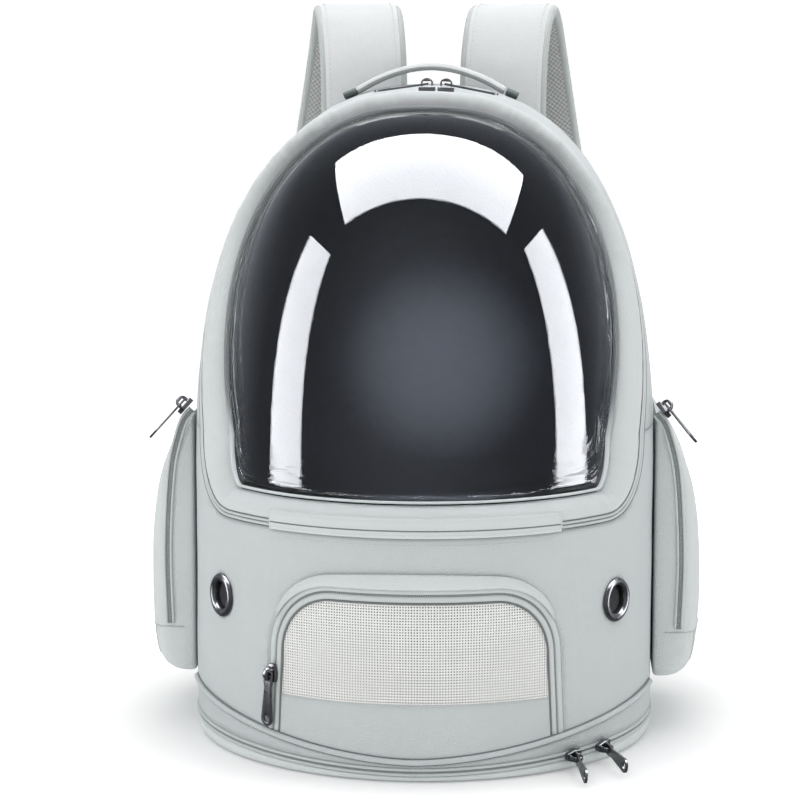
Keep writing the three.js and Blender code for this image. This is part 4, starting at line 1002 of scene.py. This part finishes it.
HATCH_ZIP_WIDTH, ZIP_LINE_RADIUS, ZIP_LINE_OUT = 7.7, 0.42, 0.3
ZIP_UNDER_FLAP = math.radians(1)
zip_route = hatch_route(FLAP_ANGLE - ZIP_UNDER_FLAP)
lay_zip("hatch_zip", zip_route, HATCH_ZIP_WIDTH, start=GAP)
for place, across in (("outer", 0.0), ("inner", HATCH_ZIP_WIDTH + 2 * GAP)):
    cord("hatch_zip_%s_line" % place, zip_route, across, ZIP_LINE_OUT, ZIP_LINE_RADIUS, dark_binding_and_seam_shade)
lay_zip("door_zip", door_places(), DOOR_ZIP_WIDTH - 2 * GAP, start=GAP)


def base_route():
    side = steps(GUSSET_BACK_Y, FRONT_CENTRE_Y, 24)[:-1]
    left, right = ([(lambda a, o, y=y, s=sign: side_point(s, y, base_zip_low(y) + a, o)) for y in side]
                   for _, sign in SIDES)
    front = [(lambda a, o, t=t, low=BASE_ZIP_PART * front_seam_z(t): front_point(t, low + a, o))
             for t in steps(-math.pi / 2, math.pi / 2, 120)]
    return left + front + right[::-1]


lay_zip("base_zip", base_route(), BASE_ZIP_HEIGHT)

# %% [markdown]
# ## The base
# Below the zip the base is a shallow tray with a soft edge. Its outline is the body's, with round back
# corners. A piped seam dips across the front above the zip. Two thin dark cords along the seam's upper and
# lower edges are painted seam shade, and the tray's lighter oxford is painted light.

# %% Base tray
BASE_BACK_Y, BASE_CORNER, BASE_FLOOR = 140.3, 20.0, 3.0
TRAY_ROWS = ((5, 0, BASE_FLOOR), (3, 1, 0), (1.2, 1, 0.1), (0.2, 1, -0.5), (0.0, 0.6, 0), (0.9, 0.3, 0),
             (2.4, 0, 0.8), (4.5, 0, 0.0))


def base_outline(inset):
    radius, corner = BODY_RADIUS - inset, BASE_CORNER - inset
    corner_x, corner_y = BODY_RADIUS - BASE_CORNER, BASE_BACK_Y - BASE_CORNER
    front = [(radius * math.sin(t), FRONT_CENTRE_Y - radius * math.cos(t))
             for t in steps(-math.pi / 2, math.pi / 2, 120)]
    rear = [(corner_x + corner * math.cos(t), corner_y + corner * math.sin(t))
            for t in steps(0, math.pi / 2, 8)]
    return front + rear + [(-x, y) for x, y in reversed(rear)]


def base_loop(inset, share, rise):
    """A loop of the tray by its inset, its share of the zip's height and a rise."""
    return [Vector((x, y, share * (base_zip_low(depth) - GAP) + rise))
            for (x, y), (_, depth) in zip(base_outline(inset), base_outline(0))]


tray = skin("base_tray", [base_loop(*values) for values in TRAY_ROWS], [base_cloth_painted_light, dark_lining],
            part_of=lambda i, j: 1 if i < 1 else 0)
settle(tray, "cloth", "base")

# %% Piped seam
SEAM_END, SEAM_OUT, SEAM_CORD_RADIUS = math.radians(80), 1.2, 1.7
SEAM_SHADE_OUT, SEAM_SHADE_RADIUS, SEAM_SHADE_LINES = 0.35, 0.55, (("upper", 1.9), ("lower", -2.0))
SEAM_STITCH_RISE, SEAM_STITCH_OUT = -3.4, 0.6
seam_angles = steps(-SEAM_END, SEAM_END, 110)
cord("base_seam_piping", front_places(front_seam_z, seam_angles), SEAM_OUT, 0, SEAM_CORD_RADIUS, cloth,
     "base_piping", sides=10)
# Two thin dark cords along the seam's upper and lower edges: painted seam shade.
for place, rise in SEAM_SHADE_LINES:
    shade_places = front_places(lambda a, rise=rise: front_seam_z(a) + rise, seam_angles)
    cord("base_seam_%s_line" % place, shade_places, SEAM_SHADE_OUT, 0, SEAM_SHADE_RADIUS, dark_binding_and_seam_shade)
stitches("base_seam_stitches",
         [front_chain(lambda a: front_seam_z(a) + SEAM_STITCH_RISE, SEAM_STITCH_OUT, seam_angles)])

# %% [markdown]
# ## The door
# The lower part of the door is plain cloth and the upper part is an open net. The net is real: every
# strand is a thin tube that goes over and under the strands it crosses. Another small tree turns the
# chains of points into tubes. A cloth hood covers the zip over the top.

# %% Door cloth
DOOR_WALL, DOOR_OUT, DOOR_SIDE_GAP = 2.2, 0.3, 0.4
DOOR_SWELL, DOOR_SIDE_FADE, DOOR_FADE = 0.5, 6, 10
door_lines = []
for part in [math.sin(t) for t in steps(-math.pi / 2, math.pi / 2, 60)]:
    low = front_seam_z(part * DOOR_HALF / BODY_RADIUS) + GAP
    line = []
    for z in steps(low, DOOR_NET_LOW, 10):
        from_seam = min(z - low, DOOR_NET_LOW - z)
        fade = min(1.0, (1 - abs(part)) * DOOR_SIDE_FADE, from_seam / DOOR_FADE)
        swell = DOOR_SWELL * fade * uneven(part * 3, z / 25, 2)
        line.append(wall_point(part * (door_half(z) - DOOR_SIDE_GAP), z, DOOR_OUT + swell))
    door_lines.append(line)
door_cloth = skin("door_cloth", door_lines, [cloth, dark_lining], closed=False)
settle(thicken(door_cloth, DOOR_WALL), "cloth", "door_panel")

# %% Door net
NET_PITCH, NET_RADIUS, NET_LIFT, NET_OUT = 1.75, 0.55, 0.16, -0.8
NET_SLACK, NET_WAVE = 0.5, 0.25
NET_LAP = 1.6
NET_LOW, NET_CORNER = DOOR_NET_LOW + GAP, DOOR_CORNER + NET_LAP


def build_strand_tree():
    tree, inputs = new_tree("Strands", {"Radius": 0.0005})
    start = add_node(tree, "NodeGroupInput").outputs
    curve = add_node(tree, "GeometryNodeMeshToCurve", {0: start["Geometry"]})
    ring = add_node(tree, "GeometryNodeCurvePrimitiveCircle", {"Resolution": 5, "Radius": start["Radius"]})
    strand = add_node(tree, "GeometryNodeCurveToMesh",
                      {"Curve": curve.outputs[0], "Profile Curve": ring.outputs[0]})
    end_tree(tree, start, strand.outputs[0])
    return tree, inputs


def net_top(along):
    past = max(0.0, abs(along) - DOOR_SHOULDER)
    return DOOR_LEG_TOP + math.sqrt(max(0.0, NET_CORNER ** 2 - past ** 2))


def net_half(z):
    if z <= DOOR_LEG_TOP:
        return door_half(z) + NET_CORNER - DOOR_CORNER
    return DOOR_SHOULDER + math.sqrt(max(0.0, NET_CORNER ** 2 - (z - DOOR_LEG_TOP) ** 2))


def net_rows(along):
    return int((net_top(along) - DOOR_NET_LOW - GAP) / NET_PITCH)


def net_point(i, j, over):
    along, z = i * NET_PITCH, NET_LOW + j * NET_PITCH
    slack = NET_SLACK * uneven(along / 30, z / 22, 9.0)
    lift = NET_LIFT if (i + j) % 2 == over else -NET_LIFT
    wave = NET_WAVE * uneven(along / 18, z / 18, 4.0)
    return wall_point(along + wave, z, NET_OUT + lift + slack), -Y_WAY


strand_tree, strand_inputs = build_strand_tree()
columns = int(net_half(DOOR_NET_LOW) / NET_PITCH)
strands = []
for i in range(-columns, columns + 1):
    count = net_rows(i * NET_PITCH)
    if count > 1:
        strands.append([net_point(i, j, 0) for j in range(count + 1)])
for j in range(net_rows(0) + 1):
    reach = int(net_half(NET_LOW + j * NET_PITCH) / NET_PITCH)
    strands.append([net_point(i, j, 1) for i in range(-reach, reach + 1)])
net = grown(chain_piece("door_net_strands", strands), strand_tree,
            {strand_inputs["Radius"]: NET_RADIUS * MM, strand_inputs["Finish"]: net_thread})
settle(net, "net", "door_net")

# %% Hood over the door
HOOD_WIDTH, HOOD_LAP, HOOD_INNER, HOOD_OUTER, HOOD_SHOULDER = 9.0, 1.0, 1.1, 3.3, 0.6
HOOD_LOW = DOOR_LEG_TOP + 16
hood_route = [at for at in door_route(3) if at(0)[1] > HOOD_LOW]
hood_loops = []
for i, at in enumerate(hood_route):
    part = (i + HOOD_SHOULDER) / (len(hood_route) - 1 + 2 * HOOD_SHOULDER)
    near = DOOR_ZIP_WIDTH - HOOD_LAP
    far = near + HOOD_WIDTH * math.sin(math.pi * part) ** HOOD_SHOULDER
    middle, half_way = (near + far) / 2, (HOOD_INNER + HOOD_OUTER) / 2
    section = ((near, HOOD_INNER + 0.3), (middle, HOOD_INNER), (far, HOOD_INNER), (far + 0.2, half_way),
               (far - 0.6, HOOD_OUTER - 0.5), (middle, HOOD_OUTER + 0.3), (near + 0.5, HOOD_OUTER),
               (near - 0.2, half_way))
    hood_loops.append([wall_point(*at(across), out) for across, out in rounded(section, 3)])
hood = settle(skin("door_hood_cloth", hood_loops, [pocket_cloth_painted_light]), "cloth", "door_hood")

# %% Door binding and stitches
DOOR_BINDING_RADIUS, DOOR_BINDING_OUT = 0.75, 0.2
DOOR_STITCH_ACROSS, DOOR_STITCH_OUT = DOOR_ZIP_WIDTH + 2.0, 0.35
NET_STITCH_Z, NET_STITCH_OUT, NET_STITCH_END = DOOR_NET_LOW - 1.6, 0.7, 86
cord("door_edge_binding", door_places(), 0.0, DOOR_BINDING_OUT, DOOR_BINDING_RADIUS, dark_binding_and_seam_shade)
net_stitches = [(wall_point(a, NET_STITCH_Z, NET_STITCH_OUT), wall_point(a, 0, 1) - wall_point(a, 0))
                for a in steps(-NET_STITCH_END, NET_STITCH_END, 60)]
stitches("door_stitches", [seam_chain(door_places(), DOOR_STITCH_ACROSS, DOOR_STITCH_OUT), net_stitches])

# %% [markdown]
# ## Eyelets and vent mesh
# Each vent is a pressed metal ring round a dark mesh. The ring is a profile turned about its axis, with
# enough steps to look round up close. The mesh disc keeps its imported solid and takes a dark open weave.

# %% Eyelets
EYELET = ((8.8, -3.4), (10.4, -3.4), (10.4, 0.4), (14.0, 0.4), (13.8, 1.3), (13.0, 2.3), (11.6, 2.7),
          (10.2, 2.3), (9.2, 1.3), (8.8, 0.2))
EYELET_SHARP = math.radians(50)
for side, sign in SIDES:
    centre = front_point(sign * VENT_ANGLE, VENT_Z)
    out = Vector((math.sin(sign * VENT_ANGLE), -math.cos(VENT_ANGLE), 0))
    flat_way = Vector((-out.y, out.x, 0))
    loops = [[centre + (flat_way * math.cos(t) + Z_WAY * math.sin(t)) * r + out * h for r, h in EYELET]
             for t in steps(0, 2 * math.pi, 64)[:-1]]
    ring = skin("eyelet_ring_" + side, loops, [gunmetal], ring=True)
    ring.data.set_sharp_from_angle(angle=EYELET_SHARP)
    settle(ring, "gunmetal", "eyelet_" + side)
    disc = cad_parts["vent_mesh_" + side]
    disc.data.materials.clear()
    disc.data.materials.append(dark_mesh)

# %% [markdown]
# ## Soft padding
# A pocket or a pad looks stuffed because its cloth is stretched over something soft. The cloth simulation
# does that: the skin is remeshed evenly, air presses it out for twenty frames, and no point may move
# further than a few millimetres. Points that are sewn to a neighbour are pinned.

# %% Blow a skin up a little
AIR_FRAMES, AIR_QUALITY = 20, 5


def box_uv(mesh):
    """Lays the weave flat on each face from the side that it faces most."""
    layer = mesh.uv_layers.get("cloth") or mesh.uv_layers.new(name="cloth")
    for face in mesh.polygons:
        away = [abs(c) for c in face.normal]
        u, v = ((1, 2), (0, 2), (0, 1))[away.index(max(away))]
        for corner in face.loop_indices:
            point = mesh.vertices[mesh.loops[corner].vertex_index].co
            layer.data[corner].uv = (point[u], point[v])


def blown(piece, pressure):
    """Where each point of a skin is after air has pressed on it, with the sewn points held."""
    air = piece.modifiers.new("air", "CLOTH")
    air.settings.use_pressure = True
    air.settings.uniform_pressure_force = pressure
    air.settings.effector_weights.gravity = 0
    air.settings.vertex_group_mass = "sewn"
    air.settings.quality = AIR_QUALITY
    air.point_cache.frame_end = AIR_FRAMES
    for number in range(1, AIR_FRAMES + 1):
        scene.frame_set(number)
    ready = piece.evaluated_get(bpy.context.evaluated_depsgraph_get())
    moved = [v.co.copy() for v in ready.data.vertices]
    piece.modifiers.clear()
    scene.frame_set(1)
    return moved


def puff(piece, voxel, pressure, cap, pinned, limit):
    finishes = list(piece.data.materials)
    even = piece.modifiers.new("even skin", "REMESH")
    even.mode = "VOXEL"
    even.voxel_size = voxel * MM
    plain_mesh(piece)
    rest = [v.co.copy() for v in piece.data.vertices]
    sewn = piece.vertex_groups.new(name="sewn")
    sewn.add([i for i, p in enumerate(rest) if pinned(p / MM)], 1.0, "REPLACE")
    moved = blown(piece, pressure)
    most = 0.0
    for vertex, start, end in zip(piece.data.vertices, rest, moved):
        shift = end - start
        if shift.length > cap * MM:
            shift *= cap * MM / shift.length
        vertex.co = limit((start + shift) / MM) * MM
        most = max(most, shift.length)
    piece.vertex_groups.clear()
    box_uv(piece.data)
    dress(piece.data, finishes)
    smooth = piece.modifiers.new("smooth skin", "SUBSURF")
    smooth.levels = smooth.render_levels = 1
    print("%s swelled by up to %.1f mm" % (piece.name, most / MM))


# %% [markdown]
# ## Side pockets
# Each pocket is a gusseted pouch: square where it is sewn to the wall and rounder towards its face. Its
# zip runs down the front edge, so the points there stay pinned.

# %% Pockets
POCKET_ROWS = ((0.7, 4, 121, 34, 210, 9), (6, 2.6, 122.2, 34.2, 202.5, 10.5), (12, 2, 123, 34.5, 194, 12),
               (17.5, 2.2, 122.8, 35.7, 185.5, 15), (22, 3, 122, 38, 175, 18),
               (25.5, 5, 120, 41.5, 164.5, 21), (28, 8, 117, 46, 152, 24),
               (30.2, 14.5, 110.5, 53.5, 138, 26), (31.5, 24, 101, 64, 122, 26))
POCKET_FRONT, POCKET_WALL_GAP, POCKET_ZIP_GAP = 1.7, 0.7, 0.2
SEWN_OUT, SEWN_FRONT = 5, 9


def pocket_loop(sign, out, front, back, low, high, soft):
    """A rectangle with soft corners at a distance out of the wall."""
    centres = ((back - soft, high - soft), (front + soft, high - soft), (front + soft, low + soft),
               (back - soft, low + soft))
    loop = []
    for quarter, (y, z) in enumerate(centres):
        for turn in steps(0, 90, 8):
            angle = math.radians(turn + 90 * quarter)
            loop.append(Vector((sign * (BODY_RADIUS + out), y + soft * math.cos(angle),
                                z + soft * math.sin(angle))))
    return loop


def pocket_sewn(point):
    return abs(point.x) < BODY_RADIUS + SEWN_OUT or point.y < SEWN_FRONT


def pocket_limit(point):
    x = math.copysign(max(abs(point.x), BODY_RADIUS + POCKET_WALL_GAP), point.x)
    return Vector((x, max(point.y, POCKET_FRONT + POCKET_ZIP_GAP), point.z))


for side, sign in SIDES:
    loops = [pocket_loop(sign, *values) for values in POCKET_ROWS]
    pouch = skin("pocket_pouch_" + side, loops, [pocket_cloth_painted_light])
    puff(pouch, voxel=4.0, pressure=3.0, cap=2.5, pinned=pocket_sewn, limit=pocket_limit)
    settle(pouch, "cloth", "pocket_" + side)

# %% [markdown]
# The pocket's zip follows a soft curve through a few points on its front edge, found with the same smooth
# route that the straps use later.

# %% Pocket zips
POCKET_ZIP = ((1, 211), (6.5, 204.5), (10.5, 193), (14.5, 176), (17, 150), (18.4, 112), (17.2, 69))
POCKET_ZIP_WIDTH, POCKET_ZIP_OUT, POCKET_ZIP_SLOT = 6.0, 1.3, 2.6


def soft_route(points, count, fine=24):
    """Even steps along a soft curve through the points."""
    rows = [2 * points[0] - points[1], *points, 2 * points[-1] - points[-2]]
    dense = [curve_point(*near, part) for near in zip(rows, rows[1:], rows[2:], rows[3:])
             for part in steps(0, 1, fine)[:-1]]
    dense.append(points[-1].copy())
    lengths = running_lengths(dense, False)
    even, i = [], 0
    for wanted in steps(0, lengths[-1], count):
        while i < len(lengths) - 2 and lengths[i + 1] < wanted:
            i += 1
        part = (wanted - lengths[i]) / max(1e-9, lengths[i + 1] - lengths[i])
        even.append(dense[i].lerp(dense[i + 1], min(1.0, part)))
    return even


def tangents(points):
    last = len(points) - 1
    return [(points[min(i + 1, last)] - points[max(i - 1, 0)]).normalized() for i in range(last + 1)]


def pocket_place(point, way):
    return lambda a, o: point + way * (a - POCKET_ZIP_WIDTH / 2) - Vector((0, POCKET_ZIP_OUT + o, 0))


for side, sign in SIDES:
    path = soft_route([Vector((sign * (BODY_RADIUS + out), POCKET_FRONT, z)) for out, z in POCKET_ZIP], 70)
    places = [pocket_place(point, along.cross(Y_WAY).normalized() * sign)
              for point, along in zip(path, tangents(path))]
    lay_zip("pocket_zip_" + side, places, POCKET_ZIP_WIDTH, slot=POCKET_ZIP_SLOT)

# %% [markdown]
# ## The back pad and the lining
# The back of the carrier is a padded panel, and inside, facing the window, it is lined with dark cloth.
# The pad starts a little thin, and the simulation fills it. The lining is a sheet with a slight bow.

# %% Back pad
BACK_FRONT_Y, BACK_Y, BACK_LOW, PAD_SEWN = 128.3, 140.3, 10.8, 6
PAD_ROWS = ((BACK_FRONT_Y, 0.4, 0, 3), (BACK_Y - 6, 0.2, 0, 2.6), (BACK_Y - 3.2, 1.8, 1.5, 2.2),
            (BACK_Y - 2.2, 6, 5, 2))


def tombstone(y, inset, low, rise=0.0):
    arch = [arch_point(t, y, rise * math.cos(t) - inset) for t in steps(math.pi / 2, -math.pi / 2, 90)]
    heights = steps(low, SPRING_Z, 16)[:-1]
    right = [Vector((BODY_RADIUS - inset, y, z)) for z in heights]
    left = [Vector((inset - BODY_RADIUS, y, z)) for z in reversed(heights)]
    return right + arch + left


def pad_limit(point):
    return Vector((point.x, min(max(point.y, BACK_FRONT_Y), BACK_Y), max(point.z, BACK_LOW)))


pad_loops = [tombstone(y, inset, BACK_LOW + up, rise) for y, inset, up, rise in PAD_ROWS]
pad = skin("back_pad", pad_loops, [strap_cloth])
puff(pad, voxel=5.0, pressure=4.0, cap=4.0, pinned=lambda p: p.y < BACK_FRONT_Y + PAD_SEWN, limit=pad_limit)
settle(pad, "strap_cloth", "back_panel")

# %% Dark lining
LINING_BACK_Y, LINING_LOW = GUSSET_BACK_Y - GAP, BACK_LOW + GAP
LINING_ROWS = ((0, 2.8, 0), (1.6, 2.8, 0), (2.3, 5.0, 2), (2.5, 40, 30))
lining_loops = [tombstone(LINING_BACK_Y - ahead, inset, LINING_LOW + up) for ahead, inset, up in LINING_ROWS]
inner_lining = settle(skin("inner_lining", lining_loops, [dark_lining]), "dark_cloth", "lining")

# %% [markdown]
# ## Shoulder straps
# A padded strap leaves the back, bends over in a loop and comes down to a plastic adjuster. Its outer
# face is cloth and its inner face is an open spacer mesh; both are bound together by a rolled edge. The
# strap is swept along its route, because a remesh would lose its thin edge.

# %% Bands along a route
EDGE_TURN, EDGE_POWER = 0.04, 8


def band_places(points, way):
    """Places along a route, with their distance across measured as near to one way as the route allows."""
    places = []
    for point, along in zip(points, tangents(points)):
        across = (way - along * way.dot(along)).normalized()
        places.append(lambda a, o, p=point, w=across, f=along.cross(across): p + w * a + f * o)
    return places


def padded_section(width, thick):
    """Two flat faces that thin out to bound edges, first the one on the out side."""
    across = [math.cos(t) for t in steps(EDGE_TURN, math.pi - EDGE_TURN, 24)]
    first = [(width / 2 * c, (thick / 2) * (1 - abs(c) ** EDGE_POWER) ** 0.5) for c in across]
    return first + [(a, -t) for a, t in reversed(first)]


def two_faced(name, places, section, first, second):
    """A skin with one finish on each half of its section."""
    half = len(section) // 2
    return skin(name, swept(places, section), [first, second], part_of=lambda i, j: 0 if j < half else 1)


def mirrored(rows, sign):
    return [Vector((sign * x, y, z)) for x, y, z in rows]


# %% Straps, their bindings and stitches
STRAP_ROUTE = ((48, 145.2, 368), (48, 145.4, 405), (49, 148, 438), (52, 160, 463), (56, 181, 470),
               (59, 200, 460), (63, 209, 435), (70, 210, 390), (83, 204, 310), (96, 194, 235),
               (104, 187, 190))
WEB_ROUTE = ((107.4, 181.4, 163), (112, 171, 125), (117, 154, 92), (120, 142.6, 74), (121, 141.7, 58))
STRAP_WIDTH, STRAP_THICKNESS, STRAP_EDGE = 60.0, 9.0, 3.0
BINDING_HALF, BINDING_HEIGHT, BINDING_SHIFT = 3.2, 3.9, 0.5
STRAP_STITCH_ACROSS, STRAP_STITCH_OUT = STRAP_WIDTH / 2 - 7, STRAP_THICKNESS / 2 - 0.05
WEB_WIDTH, WEB_THICKNESS = 25, 2.0
for side, sign in SIDES:
    places = band_places(soft_route(mirrored(STRAP_ROUTE, sign), 150), X_WAY)
    strap = two_faced("strap_pad_" + side, places, padded_section(STRAP_WIDTH - STRAP_EDGE, STRAP_THICKNESS),
                      spacer, strap_cloth)
    settle(strap, "strap_cloth", "strap_" + side)
    for edge_side, edge_sign in (("inner", -1), ("outer", 1)):
        middle = edge_sign * (STRAP_WIDTH / 2 - BINDING_HALF)
        binding = [(middle + BINDING_HALF * x, BINDING_HEIGHT * y + BINDING_SHIFT)
                   for x, y in ring_section(1, 12)]
        piece = skin("strap_binding_%s_%s" % (side, edge_side), swept(places, binding), [trim_cloth])
        settle(piece, "strap_cloth")
    chains = [[(at(across, -STRAP_STITCH_OUT), (at(0, -1) - at(0, 0)).normalized()) for at in places]
              for across in (-STRAP_STITCH_ACROSS, STRAP_STITCH_ACROSS)]
    stitches("strap_stitches_" + side, chains, "strap_cloth")
    web_places = band_places(soft_route(mirrored(WEB_ROUTE, sign), 50), X_WAY)
    web = skin("strap_web_" + side, swept(web_places, padded_section(WEB_WIDTH, WEB_THICKNESS)), [webbing])
    settle(web, "strap_cloth", "web_" + side)

# %% [markdown]
# ## Handle
# The carrying handle is a flat padded band that rises over the top, with a dark tab sewn over each end.
# Its top is the same cloth as the straps, and its underside is that cloth made darker: painted shade.

# %% Handle
HANDLE_Y, HANDLE_WIDTH, HANDLE_THICKNESS, HANDLE_HALF, HANDLE_RISE = 112.0, 22.0, 5.0, 50.0, 432.0
HANDLE_SEAT, HANDLE_BEND = 4.7 + HANDLE_THICKNESS / 2, 0.9


def arch_top_at(x):
    return SPRING_Z + (BODY_TOP - SPRING_Z) * (1 - (abs(x) / BODY_RADIUS) ** ARCH_POWER) ** (1 / ARCH_POWER)


handle_end_z = arch_top_at(HANDLE_HALF) + HANDLE_SEAT
half_arch = [Vector((HANDLE_HALF * (1 - p), HANDLE_Y,
                     handle_end_z + (HANDLE_RISE - handle_end_z) * math.sin(p * math.pi / 2) ** HANDLE_BEND))
             for p in steps(0, 1, 4)]
handle_points = half_arch + mirrored(reversed(half_arch[:-1]), -1)
handle_grip = two_faced("handle_grip", band_places(soft_route(handle_points, 70), Y_WAY),
                        padded_section(HANDLE_WIDTH, HANDLE_THICKNESS), handle_painted_shade, strap_cloth)
settle(handle_grip, "strap_cloth", "handle")

# %% [markdown]
# ## Back piping
# The seam between the back pad and the side band is closed by a soft round piping, swept once round the
# pad's outline. A second one closes the seam along the base.

# %% Piping round the back pad
BACK_PIPING_Y, BACK_PIPING_RADIUS, BACK_PIPING_INSET, BACK_PIPING_RISE = 132.5, 2.2, 1.3, 2.8
BACK_FOOT_Y, BACK_FOOT_Z, BACK_FOOT_RADIUS, BACK_FOOT_END = 136.6, 11.0, 1.9, 147.0
back_path = tombstone(BACK_PIPING_Y, BACK_PIPING_INSET, BACK_LOW + BACK_PIPING_INSET, BACK_PIPING_RISE)
foot_start, foot_end = back_path[-1], back_path[0]
back_path += [Vector((x, BACK_PIPING_Y, foot_end.z)) for x in steps(foot_start.x, foot_end.x, 40)[1:-1]]
cord("back_piping", band_places(back_path, Y_WAY), 0, 0, BACK_PIPING_RADIUS, trim_cloth, sides=10, ring=True)
foot_path = [Vector((x, BACK_FOOT_Y, BACK_FOOT_Z)) for x in steps(-BACK_FOOT_END, BACK_FOOT_END, 60)]
cord("back_foot_piping", band_places(foot_path, Y_WAY), 0, 0, BACK_FOOT_RADIUS, trim_cloth, sides=10)

# %% [markdown]
# ## Inner seam binding
# Inside, the seams between the front wall and the side band are bound with dark tape, so that no light
# comes in through them. One round binding a side goes up the seam and then forward to the hatch.

# %% Dark binding over the side seams
INNER_BINDING_OUT, INNER_BINDING_RADIUS = -(CLOTH + 1.0), 2.0
upward = [(wall_end, z) for z in steps(cloth_low(PANEL_END_Y), HATCH_CORNER_Z, 30)]
forward = [(a, HATCH_CORNER_Z) for a in steps(wall_end, HATCH_SIDE_ALONG, 24)]
for side, sign in SIDES:
    path = [wall_point(sign * a, z, INNER_BINDING_OUT) for a, z in upward + forward[1:]]
    cord("inner_seam_binding_" + side, band_places(path, X_WAY), 0, 0, INNER_BINDING_RADIUS, dark_lining,
         slot="dark_cloth", sides=10)

# %% [markdown]
# ## Pocket seams
# A thin seam goes round each pocket below its zip, and another goes down the pocket's outer corner. The
# pockets were blown up, so the seams are found by casting lines at the finished skin and keeping where
# they hit.

# %% Seams on the pockets
POCKET_MIDDLE_OUT, POCKET_MIDDLE_Y, POCKET_SEAM_Z, POCKET_FOOT_Z = 2, 62.0, 66.0, 46.0
POCKET_SEAM_TURN, POCKET_CORNER_TURN, POCKET_SEAM_RADIUS = 84, math.radians(-64), 0.55


def on_pocket(hits, sign, turn, z):
    way = Vector((sign * math.cos(turn), math.sin(turn), 0))
    start = Vector((sign * (BODY_RADIUS + POCKET_MIDDLE_OUT), POCKET_MIDDLE_Y, z)) + way * BODY_RADIUS
    return hits.ray_cast(start * MM, -way)[0] / MM


for side, sign in SIDES:
    hits = BVHTree.FromObject(bpy.data.objects["pocket_pouch_" + side], bpy.context.evaluated_depsgraph_get())
    around = [on_pocket(hits, sign, math.radians(t), POCKET_SEAM_Z)
              for t in steps(-POCKET_SEAM_TURN, POCKET_SEAM_TURN, 70)]
    corner_down = [on_pocket(hits, sign, POCKET_CORNER_TURN, z)
                   for z in steps(POCKET_SEAM_Z, POCKET_FOOT_Z, 20)]
    cord("pocket_seam_" + side, band_places(around, Z_WAY), 0, 0, POCKET_SEAM_RADIUS, trim_cloth)
    cord("pocket_corner_" + side, band_places(corner_down, X_WAY), 0, 0, POCKET_SEAM_RADIUS, trim_cloth)

# %% [markdown]
# ## Zip heads, adjusters and tabs
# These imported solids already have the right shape, but every real edge is slightly rounded and catches
# light. So a copy of each is welded, its flat faces are joined, and its edges are bevelled.

# %% Bevelled copies
WELD, FLAT_ANGLE, EDGE_ANGLE, SHARP_ANGLE = 1e-5, math.radians(2), math.radians(35), math.radians(40)
BEVEL_STEPS, BEVEL_PROFILE = 2, 0.6
SLIDER_BEVEL, PULL_BEVEL, ADJUSTER_BEVEL, TAB_BEVEL = 0.45, 0.3, 0.8, 0.9
ZIP_HEADS = ("hatch_left", "hatch_right", "pocket_left", "pocket_right", "door", "base_first", "base_second")


def bevelled(node, name, width, finish, slot, body="carrier"):
    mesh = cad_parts[node].data.copy()
    mesh.name = name
    work = bmesh.new()
    work.from_mesh(mesh)
    bmesh.ops.remove_doubles(work, verts=work.verts, dist=WELD)
    bmesh.ops.dissolve_limit(work, angle_limit=FLAT_ANGLE, verts=work.verts, edges=work.edges)
    sharp = [e for e in work.edges if len(e.link_faces) == 2 and e.calc_face_angle() > EDGE_ANGLE]
    bmesh.ops.bevel(work, geom=sharp, offset=width * MM, segments=BEVEL_STEPS, profile=BEVEL_PROFILE,
                    affect="EDGES", clamp_overlap=True)
    bmesh.ops.triangulate(work, faces=[f for f in work.faces if len(f.verts) > 4])
    work.to_mesh(mesh)
    work.free()
    dress(mesh, [finish])
    mesh.polygons.foreach_set("material_index", [0] * len(mesh.polygons))
    mesh.set_sharp_from_angle(angle=SHARP_ANGLE)
    settle(new_piece(name, mesh), slot, node, body=body)


for head in ZIP_HEADS:
    bevelled(head + "_slider", head + "_zip_slider", SLIDER_BEVEL, gunmetal, "gunmetal")
    bevelled(head + "_pull", head + "_zip_pull", PULL_BEVEL, gunmetal, "gunmetal", body=head + "_pull")
for side, _ in SIDES:
    bevelled("adjuster_" + side, "strap_adjuster_" + side, ADJUSTER_BEVEL, plastic, "plastic")
    bevelled("handle_end_" + side, "handle_tab_" + side, TAB_BEVEL, dark_tab, "dark_trim")
